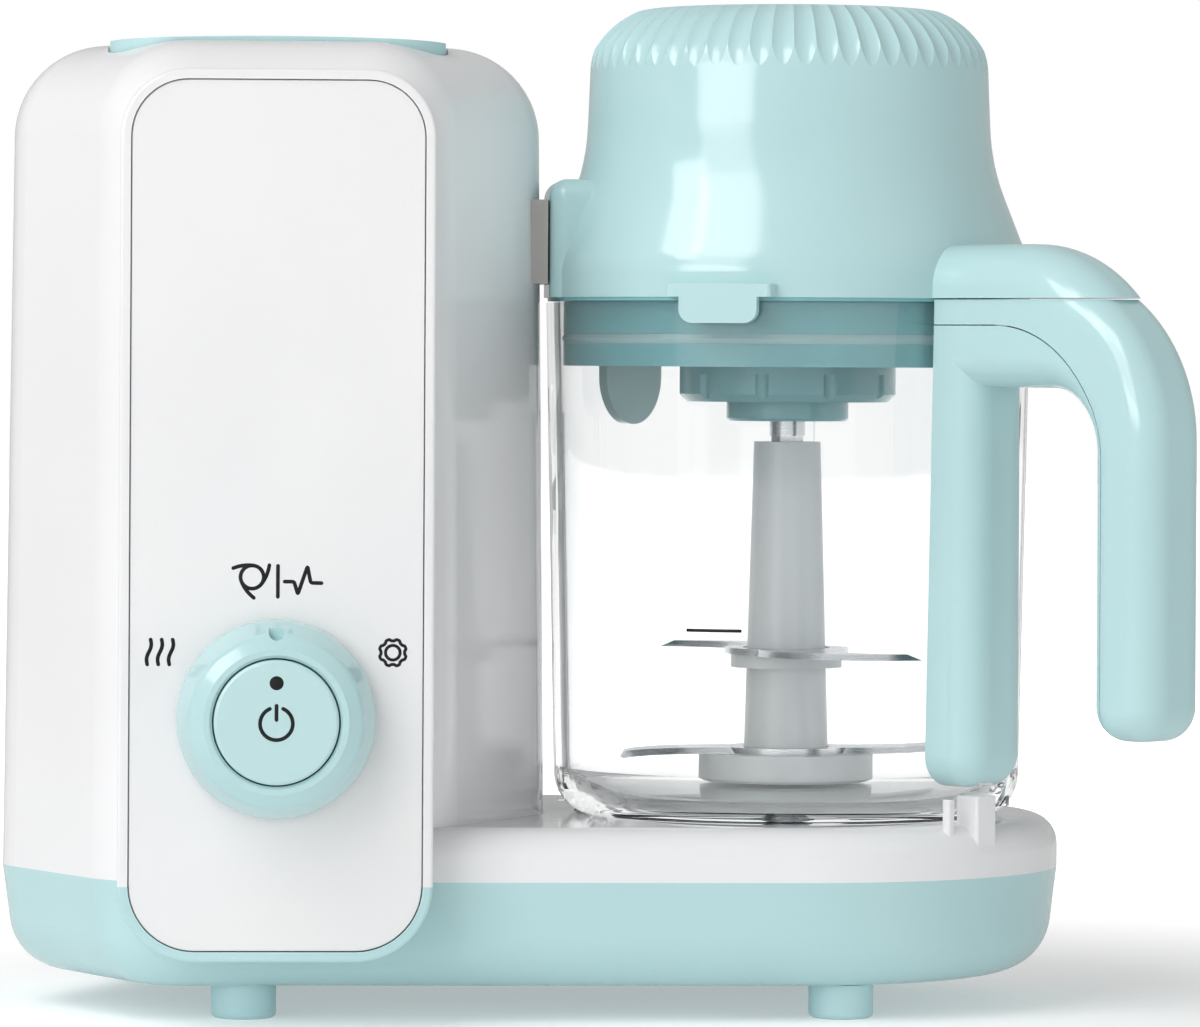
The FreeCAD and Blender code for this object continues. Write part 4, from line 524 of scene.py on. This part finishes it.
@dataclass
class Studio:
    """Floor, light and camera."""

    eye: tuple[float, float, float] = (-0.076, -1.5207, 0.146)
    yaw: float = -3.0
    roll: float = 0.3
    pitch: float = 90.0
    lens: float = 205.3
    sensor: float = 36.0
    clip_end: float = 50.0
    shift: tuple[float, float] = (0.0, -0.1363)
    aim: tuple[float, float, float] = (0.0, 0.0, 0.1)
    floor_half: float = 6.0
    floor_color: Color = (0.86, 0.86, 0.86)
    floor_rough: float = 0.9
    floor_specular: float = 0.1
    floor_near: float = 0.16
    floor_far: float = 0.5
    floor_glow: tuple[float, float] = (0.3, 1.0)
    floor_bounce: float = 0.16
    ambient: float = 0.31
    mirrored: float = 0.5
    bounces: int = 24
    gloss_bounces: int = 16

    def build(self) -> None:
        """Makes the floor, the lights, the surroundings and the camera."""
        self._floor()
        self._surroundings()
        for lamp in LAMPS:
            self._hang(lamp)
        self._bounces()
        self._camera()

    def _bounces(self) -> None:
        """Lets light go on inside the clear walls until it finds its way out."""
        paths = bpy.context.scene.cycles
        paths.max_bounces = self.bounces
        paths.transmission_bounces = self.bounces
        paths.glossy_bounces = self.gloss_bounces

    def _floor(self) -> None:
        """A wide pale floor that is white to the camera away from the shadow."""
        mesh = bpy.data.meshes.new("floor")
        shape = bmesh.new()
        bmesh.ops.create_grid(shape, x_segments=1, y_segments=1, size=self.floor_half)
        shape.to_mesh(mesh)
        shape.free()
        floor = bpy.data.objects.new("floor", mesh)
        bpy.context.scene.collection.objects.link(floor)
        made = bpy.data.materials.new("floor_white")
        made.use_nodes = True
        graph = Graph(made.node_tree)
        shader = made.node_tree.nodes["Principled BSDF"]
        shader.inputs["Base Color"].default_value = (*self.floor_color, 1.0)
        shader.inputs["Roughness"].default_value = self.floor_rough
        shader.inputs["Specular IOR Level"].default_value = self.floor_specular
        shader.inputs["Emission Color"].default_value = (1.0, 1.0, 1.0, 1.0)
        spot = graph.add("TexCoord").outputs["Object"]
        away = graph.add("VectorMath", {0: spot}, operation="LENGTH").outputs["Value"]
        glow = graph.spread(away, self.floor_near, self.floor_far, *self.floor_glow)
        shown = graph.math("MULTIPLY", self._seen(graph), glow)
        given = graph.math("MAXIMUM", shown, self.floor_bounce)
        graph.tree.links.new(given, shader.inputs["Emission Strength"])
        mesh.materials.append(made)

    def _seen(self, graph: Graph) -> bpy.types.NodeSocket:
        """Tells what is seen straight or through something clear from what only lights.

        Args:
            graph: Graph of the floor or of the surroundings.

        Returns:
            A socket that is 1 where the surface is seen, and 0 for scattered light.
        """
        path = graph.add("LightPath")
        straight = graph.math("LESS_THAN", path.outputs["Diffuse Depth"], 0.5)
        through = graph.math("MULTIPLY", path.outputs["Is Transmission Ray"], straight)
        return graph.math("MAXIMUM", path.outputs["Is Camera Ray"], through)

    def _surroundings(self) -> None:
        """An even surround, white where it is seen."""
        world = bpy.data.worlds.new("surround")
        world.use_nodes = True
        bpy.context.scene.world = world
        graph = Graph(world.node_tree)
        back = world.node_tree.nodes["Background"]
        back.inputs["Color"].default_value = (1.0, 1.0, 1.0, 1.0)
        gloss = graph.math("MULTIPLY", graph.add("LightPath").outputs["Is Glossy Ray"], self.mirrored)
        plain = graph.math("MAXIMUM", graph.math("MAXIMUM", self._seen(graph), gloss), self.ambient)
        graph.tree.links.new(plain, back.inputs["Strength"])

    def _hang(self, lamp: Lamp) -> None:
        """Hangs a soft box that faces the object.

        Args:
            lamp: The soft box.
        """
        light = bpy.data.lights.new(lamp.name, "AREA")
        light.shape = "RECTANGLE"
        light.size, light.size_y = lamp.size
        light.energy = lamp.power
        holder = bpy.data.objects.new(lamp.name, light)
        holder.location = lamp.place
        facing = Vector(self.aim) - Vector(lamp.place)
        holder.rotation_euler = facing.to_track_quat("-Z", "Y").to_euler()
        holder.visible_camera = False
        holder.visible_transmission = False
        holder.visible_diffuse, holder.visible_glossy = lamp.glow.value
        bpy.context.scene.collection.objects.link(holder)

    def _camera(self) -> None:
        """Sets the camera to the photograph's angle."""
        lens = bpy.data.cameras.new("camera")
        lens.sensor_width = self.sensor
        lens.lens = self.lens
        lens.shift_x, lens.shift_y = self.shift
        lens.clip_end = self.clip_end
        holder = bpy.data.objects.new("camera", lens)
        turn = (Matrix.Rotation(math.radians(self.yaw), 4, "Z")
                @ Matrix.Rotation(math.radians(self.pitch), 4, "X")
                @ Matrix.Rotation(math.radians(self.roll), 4, "Z"))
        holder.matrix_world = Matrix.Translation(self.eye) @ turn
        bpy.context.scene.collection.objects.link(holder)
        bpy.context.scene.camera = holder


INK_FLATNESS = 0.12
DOT_FLATNESS = 0.03
CAP_SWEEP = 88.0


def rounded(line: list[Point], reach: float, steps: int = 6) -> list[Point]:
    """Rounds the corners of a run of points.

    Args:
        line: The run's points.
        reach: How far before and after a corner its curve starts and ends.
        steps: Number of runs in each curve.

    Returns:
        The run with a curve at each corner.
    """
    drawn = [line[0]]
    for before, corner, after in zip(line, line[1:], line[2:]):
        point = Vector(corner)
        first = point + (Vector(before) - point).normalized() * reach
        last = point + (Vector(after) - point).normalized() * reach
        for step in range(steps + 1):
            part = step / steps
            drawn.append(tuple(first.lerp(point, part).lerp(point.lerp(last, part), part)))
    return [*drawn, line[-1]]


def stroke(name: str, lines: list[list[Point]], width: float, closed: bool = False) -> bpy.types.Mesh:
    """A flat stroke of constant width with round ends, drawn in the XZ plane.

    Args:
        name: Name of the mesh.
        lines: Runs of points in metres.
        width: Width of the stroke.
        closed: Whether each run closes on itself.

    Returns:
        The mesh, facing -Y.
    """
    curve = bpy.data.curves.new(name, "CURVE")
    curve.dimensions = "3D"
    curve.bevel_depth = width / 2
    curve.bevel_resolution = 2
    curve.use_fill_caps = True
    for line in lines:
        points = [(Vector(point), 1.0) for point in line]
        if not closed:
            points = [*cap(line[1], line[0], width)[::-1], *points, *cap(line[-2], line[-1], width)]
        spline = curve.splines.new("POLY")
        spline.points.add(len(points) - 1)
        for point, (spot, thick) in zip(spline.points, points):
            point.co = (spot.x, 0.0, spot.y, 1.0)
            point.radius = thick
        spline.use_cyclic_u = closed
    drawn = bpy.data.objects.new(name, curve)
    mesh = bpy.data.meshes.new_from_object(drawn)
    bpy.data.objects.remove(drawn)
    mesh.transform(Matrix.Diagonal((1.0, INK_FLATNESS, 1.0, 1.0)))
    return mesh


def cap(before: Point, end: Point, width: float, steps: int = 4) -> list[tuple[Vector, float]]:
    """The round end of a stroke.

    Args:
        before: The point before the end.
        end: The end of the run.
        width: Width of the stroke.
        steps: Number of runs in the cap.

    Returns:
        Points beyond the end, each with its share of the stroke's width.
    """
    ahead = (Vector(end) - Vector(before)).normalized() * width / 2
    turns = [math.radians(CAP_SWEEP) * step / steps for step in range(1, steps + 1)]
    return [(Vector(end) + ahead * math.sin(turn), math.cos(turn)) for turn in turns]


def disc(name: str, radius: float) -> bpy.types.Mesh:
    """A thin domed dot in the XZ plane.

    Args:
        name: Name of the mesh.
        radius: Radius of the dot.

    Returns:
        The mesh, facing -Y.
    """
    shape = bmesh.new()
    bmesh.ops.create_uvsphere(shape, u_segments=28, v_segments=8, radius=radius)
    bmesh.ops.scale(shape, vec=(1.0, 1.0, DOT_FLATNESS), verts=shape.verts)
    upright = Matrix.Rotation(math.radians(90), 3, "X")
    bmesh.ops.rotate(shape, cent=(0, 0, 0), matrix=upright, verts=shape.verts)
    mesh = bpy.data.meshes.new(name)
    shape.to_mesh(mesh)
    shape.free()
    return mesh


def put(name: str, mesh: bpy.types.Mesh, body: str, surface: Surface) -> bpy.types.Object:
    """Makes a finished mesh a piece that rides on a body.

    Args:
        name: Name of the piece.
        mesh: Its mesh, in the frame's own place.
        body: Body that it rides on.
        surface: Its finish.

    Returns:
        The piece.
    """
    piece = bpy.data.objects.new(name, mesh)
    bpy.context.scene.collection.objects.link(piece)
    mesh.materials.clear()
    mesh.materials.append(surface.value.material())
    for polygon in mesh.polygons:
        polygon.use_smooth = True
    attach(piece, body)
    LOG.info("%s rides on %s", name, body)
    return piece


def ring_points(radius: float, start: float, end: float, steps: int) -> list[Point]:
    """Points along an arc, in degrees from the X axis.

    Args:
        radius: Radius of the arc.
        start: First angle.
        end: Last angle.
        steps: Number of runs.

    Returns:
        The points, both ends among them.
    """
    turns = [math.radians(start + (end - start) * step / steps) for step in range(steps + 1)]
    return [(radius * math.cos(turn), radius * math.sin(turn)) for turn in turns]


@dataclass
class Controls:
    """Panel, dial and button with their printed marks."""

    pen: float = mm(0.82)
    gear_pen: float = mm(0.68)
    stand_off: float = mm(0.01)
    marks: dict[str, Point] = field(default_factory=lambda: {
        "mark_steam": (mm(-24.8), mm(81.1)),
        "mark_blend": (mm(-5.25), mm(97.15)),
        "mark_divider": (mm(0.25), mm(96.25)),
        "mark_pulse": (mm(5.6), mm(96.2)),
        "mark_auto": (mm(24.85), mm(81.1)),
    })
    divider_half: float = mm(3.3)
    pulse: tuple[Point, ...] = (
        (mm(-3.9), 0.0), (mm(-1.9), 0.0), (mm(-1.1), mm(-2.7)), (mm(0.95), mm(3.3)),
        (mm(1.65), mm(-0.25)), (mm(3.95), mm(-0.3)),
    )
    pulse_corner: float = mm(0.492)
    blend_r: float = mm(2.47)
    tail_turns: tuple[float, ...] = (80.0, 200.0, 320.0)
    tail_run: float = mm(4.3)
    tail_bend: float = mm(1.3)
    tail_steps: int = 10
    gear_r: float = mm(2.72)
    gear_steps: int = 96
    teeth: int = 8
    tooth: float = mm(0.2)
    tooth_flank: float = 2.2
    gear_hole_r: float = mm(1.56)
    gear_hole_steps: int = 24
    wave_pitch: float = mm(2.35)
    wave_height: float = mm(5.3)
    wave_swing: float = mm(0.3)
    wave_lean: float = mm(0.7)
    wave_steps: int = 16
    dot_rise: float = mm(8.35)
    dot_r: float = mm(1.5)
    power_r: float = mm(3.45)
    power_drop: float = mm(0.2)
    power_gap: float = 24.0
    power_stem: tuple[float, float] = (mm(0.82), mm(3.795))
    ring_steps: int = 40

    def build(self) -> None:
        """Dresses the panel, dial and button and prints their marks."""
        dress(Surface.WHITE_SATIN, "control_panel")
        dress(Surface.AQUA_GLOSS, "dial")
        dress(Surface.AQUA_SATIN, "power_button")
        dress(Surface.DARK, "rotary_switch", "press_switch")
        dress(Surface.BOARD, "control_board")
        low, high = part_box("control_panel")
        middle = (low.x + high.x) / 2
        drawings = {
            "mark_steam": self._steam(),
            "mark_blend": self._blend(),
            "mark_divider": [[(0.0, -self.divider_half), (0.0, self.divider_half)]],
            "mark_pulse": [rounded(list(self.pulse), self.pulse_corner)],
            "mark_auto": self._gear(),
        }
        for name, lines in drawings.items():
            x, z = self.marks[name]
            toothed = name == "mark_auto"
            mesh = stroke(name, lines, self.gear_pen if toothed else self.pen, closed=toothed)
            mesh.transform(Matrix.Translation((middle + x, low.y - self.stand_off, z)))
            put(name, mesh, "base", Surface.INK)
        self._button_marks()

    def _steam(self) -> list[list[Point]]:
        """Three rising waves side by side."""
        parts = [step / self.wave_steps for step in range(self.wave_steps + 1)]
        wave = [(self.wave_lean * (part - 0.5) - self.wave_swing * math.sin(2 * math.pi * part),
                 self.wave_height * (part - 0.5)) for part in parts]
        return [[(x + self.wave_pitch * side, z) for x, z in wave] for side in (-1, 0, 1)]

    def _blend(self) -> list[list[Point]]:
        """A ring with three tails that leave it along its tangents."""
        lines = [ring_points(self.blend_r, 0.0, 360.0, self.ring_steps)]
        parts = [step / self.tail_steps for step in range(self.tail_steps + 1)]
        for turn in self.tail_turns:
            out = Vector((math.cos(math.radians(turn)), math.sin(math.radians(turn))))
            along = Vector((-out.y, out.x)) * self.tail_run
            lines.append([tuple(out * (self.blend_r - self.tail_bend * part ** 2) + along * part)
                          for part in parts])
        return lines

    def _gear(self) -> list[list[Point]]:
        """A toothed outline round a small ring."""
        outline = []
        for step in range(self.gear_steps):
            turn = 2 * math.pi * step / self.gear_steps
            radius = self.gear_r - self.tooth * math.tanh(self.tooth_flank * math.cos(self.teeth * turn))
            outline.append((radius * math.cos(turn), radius * math.sin(turn)))
        hole = ring_points(self.gear_hole_r, 0.0, 360.0, self.gear_hole_steps)
        return [outline, hole[:-1]]

    def _button_marks(self) -> None:
        """The dot and the power sign on the button's face."""
        low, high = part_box("power_button")
        middle = Vector(((low.x + high.x) / 2, low.y, (low.z + high.z) / 2))
        dot = disc("mark_dot", self.dot_r)
        dot.transform(Matrix.Translation(middle + Vector((0.0, 0.0, self.dot_rise))))
        put("mark_dot", dot, "button", Surface.INK)
        ring = ring_points(self.power_r, 90.0 + self.power_gap, 450.0 - self.power_gap, self.ring_steps)
        stem = [(0.0, height) for height in self.power_stem]
        sign = stroke("mark_power", [ring, stem], self.pen)
        sign.transform(Matrix.Translation(middle - Vector((0.0, 0.0, self.power_drop))))
        put("mark_power", sign, "button", Surface.INK)


@dataclass
class Housing:
    """Tower, deck, tub and what is inside them."""

    def build(self) -> None:
        """Dresses the housings and the works inside."""
        dress(Surface.WHITE_GLOSS, "upper_housing")
        dress(Surface.AQUA_GLOSS, "lower_housing")
        dress(Surface.AQUA_FLAT, "tank_lid")
        # The feet take the lighter aqua, which carries painted light.
        dress(Surface.AQUA_FOOT_PAINTED_LIGHT, "feet")
        dress(Surface.MILKY, "water_tank")
        dress(Surface.SEAL, "tank_seal", "steam_pipe", "water_pipe")
        dress(Surface.DARK, "boiler_stand", "power_inlet", "interlock_switch")
        dress(Surface.CAST, "boiler")
        dress(Surface.GREY, "steam_coupling")
        dress(Surface.BRASS, "power_contacts")
        dress(Surface.STEEL, "base_screws", "tank_hinge_pin")


@dataclass
class Jug:
    """The clear jug with its handle and printed line."""

    line_z: float = mm(85.0)
    line_at: float = -112.0
    line_sweep: float = 13.7
    line_height: float = mm(0.7)
    line_steps: int = 12
    stand_off: float = mm(0.04)
    foot_r: float = mm(52.0)
    rim_r: float = mm(54.4)

    def build(self) -> None:
        """Dresses the jug and handle and prints the fill line."""
        dress(Surface.CLEAR, "jug")
        dress(Surface.AQUA_GLOSS, "handle_inner", "handle_outer")
        dress(Surface.WHITE_SATIN, "interlock_rod")
        dress(Surface.STEEL, "blade_pivot")
        self._fill_line()

    def _axis(self) -> Vector:
        """The jug's axis on the floor."""
        low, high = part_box("lid_base")
        return Vector(((low.x + high.x) / 2, (low.y + high.y) / 2, 0.0))

    def _wall_r(self, height: float) -> float:
        """The jug's outer radius at a height."""
        low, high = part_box("jug")
        return self.foot_r + (self.rim_r - self.foot_r) * (height - low.z) / (high.z - low.z)

    def _fill_line(self) -> None:
        """A thin printed band on the wall at the highest fill."""
        shape = bmesh.new()
        radius = self._wall_r(self.line_z) + self.stand_off
        start = math.radians(self.line_at - self.line_sweep / 2)
        low_z = self.line_z - self.line_height / 2
        spot = Vector((radius * math.cos(start), radius * math.sin(start), low_z))
        first = shape.verts.new(spot)
        second = shape.verts.new(spot + Vector((0.0, 0.0, self.line_height)))
        shape.edges.new((first, second))
        bmesh.ops.spin(shape, geom=[*shape.verts, *shape.edges], cent=(0, 0, 0), axis=(0, 0, 1),
                       angle=math.radians(self.line_sweep), steps=self.line_steps, use_merge=False)
        bmesh.ops.recalc_face_normals(shape, faces=shape.faces)
        bmesh.ops.solidify(shape, geom=shape.faces, thickness=self.stand_off / 2)
        bmesh.ops.translate(shape, vec=self._axis(), verts=shape.verts)
        mesh = bpy.data.meshes.new("mark_fill_line")
        shape.to_mesh(mesh)
        shape.free()
        put("mark_fill_line", mesh, "jug", Surface.INK)


@dataclass
class MotorLid:
    """The lid with its motor, seals and drive."""

    def build(self) -> None:
        """Dresses the lid, the motor and the drive."""
        dress(Surface.AQUA_CROWN, "motor_cover")
        dress(Surface.AQUA_GLOSS, "steam_deflector")
        # These inner lid parts take the darker aqua, which carries the painted shade of the space under
        # the lid.
        dress(Surface.AQUA_PAINTED_SHADE, "lid_base", "retaining_nut", "seal_carrier")
        dress(Surface.SEAL, "lid_gasket", "shaft_seal")
        dress(Surface.GREY, "lid_coupling")
        dress(Surface.CAN, "motor_can")
        dress(Surface.MAGNET, "field_magnets")
        dress(Surface.DARK, "motor_end_cap", "cooling_fan")
        dress(Surface.BRASS, "lower_bush", "upper_bush")
        dress(Surface.COPPER, "armature")
        dress(Surface.STEEL, "drive_shaft")


@dataclass
class Blade:
    """The hub with its two tiers of cutters."""

    def build(self) -> None:
        """Dresses the hub and the cutters."""
        dress(Surface.MILKY, "blade_hub")
        dress(Surface.STEEL, "lower_blade", "upper_blade")


def main() -> None:
    bpy.context.scene.view_settings.view_transform = "Standard"
    for assembly in (Housing(), Controls(), Jug(), MotorLid(), Blade(), Studio()):
        assembly.build()
        LOG.info("%s built", type(assembly).__name__)


if __name__ == "__main__":
    main()
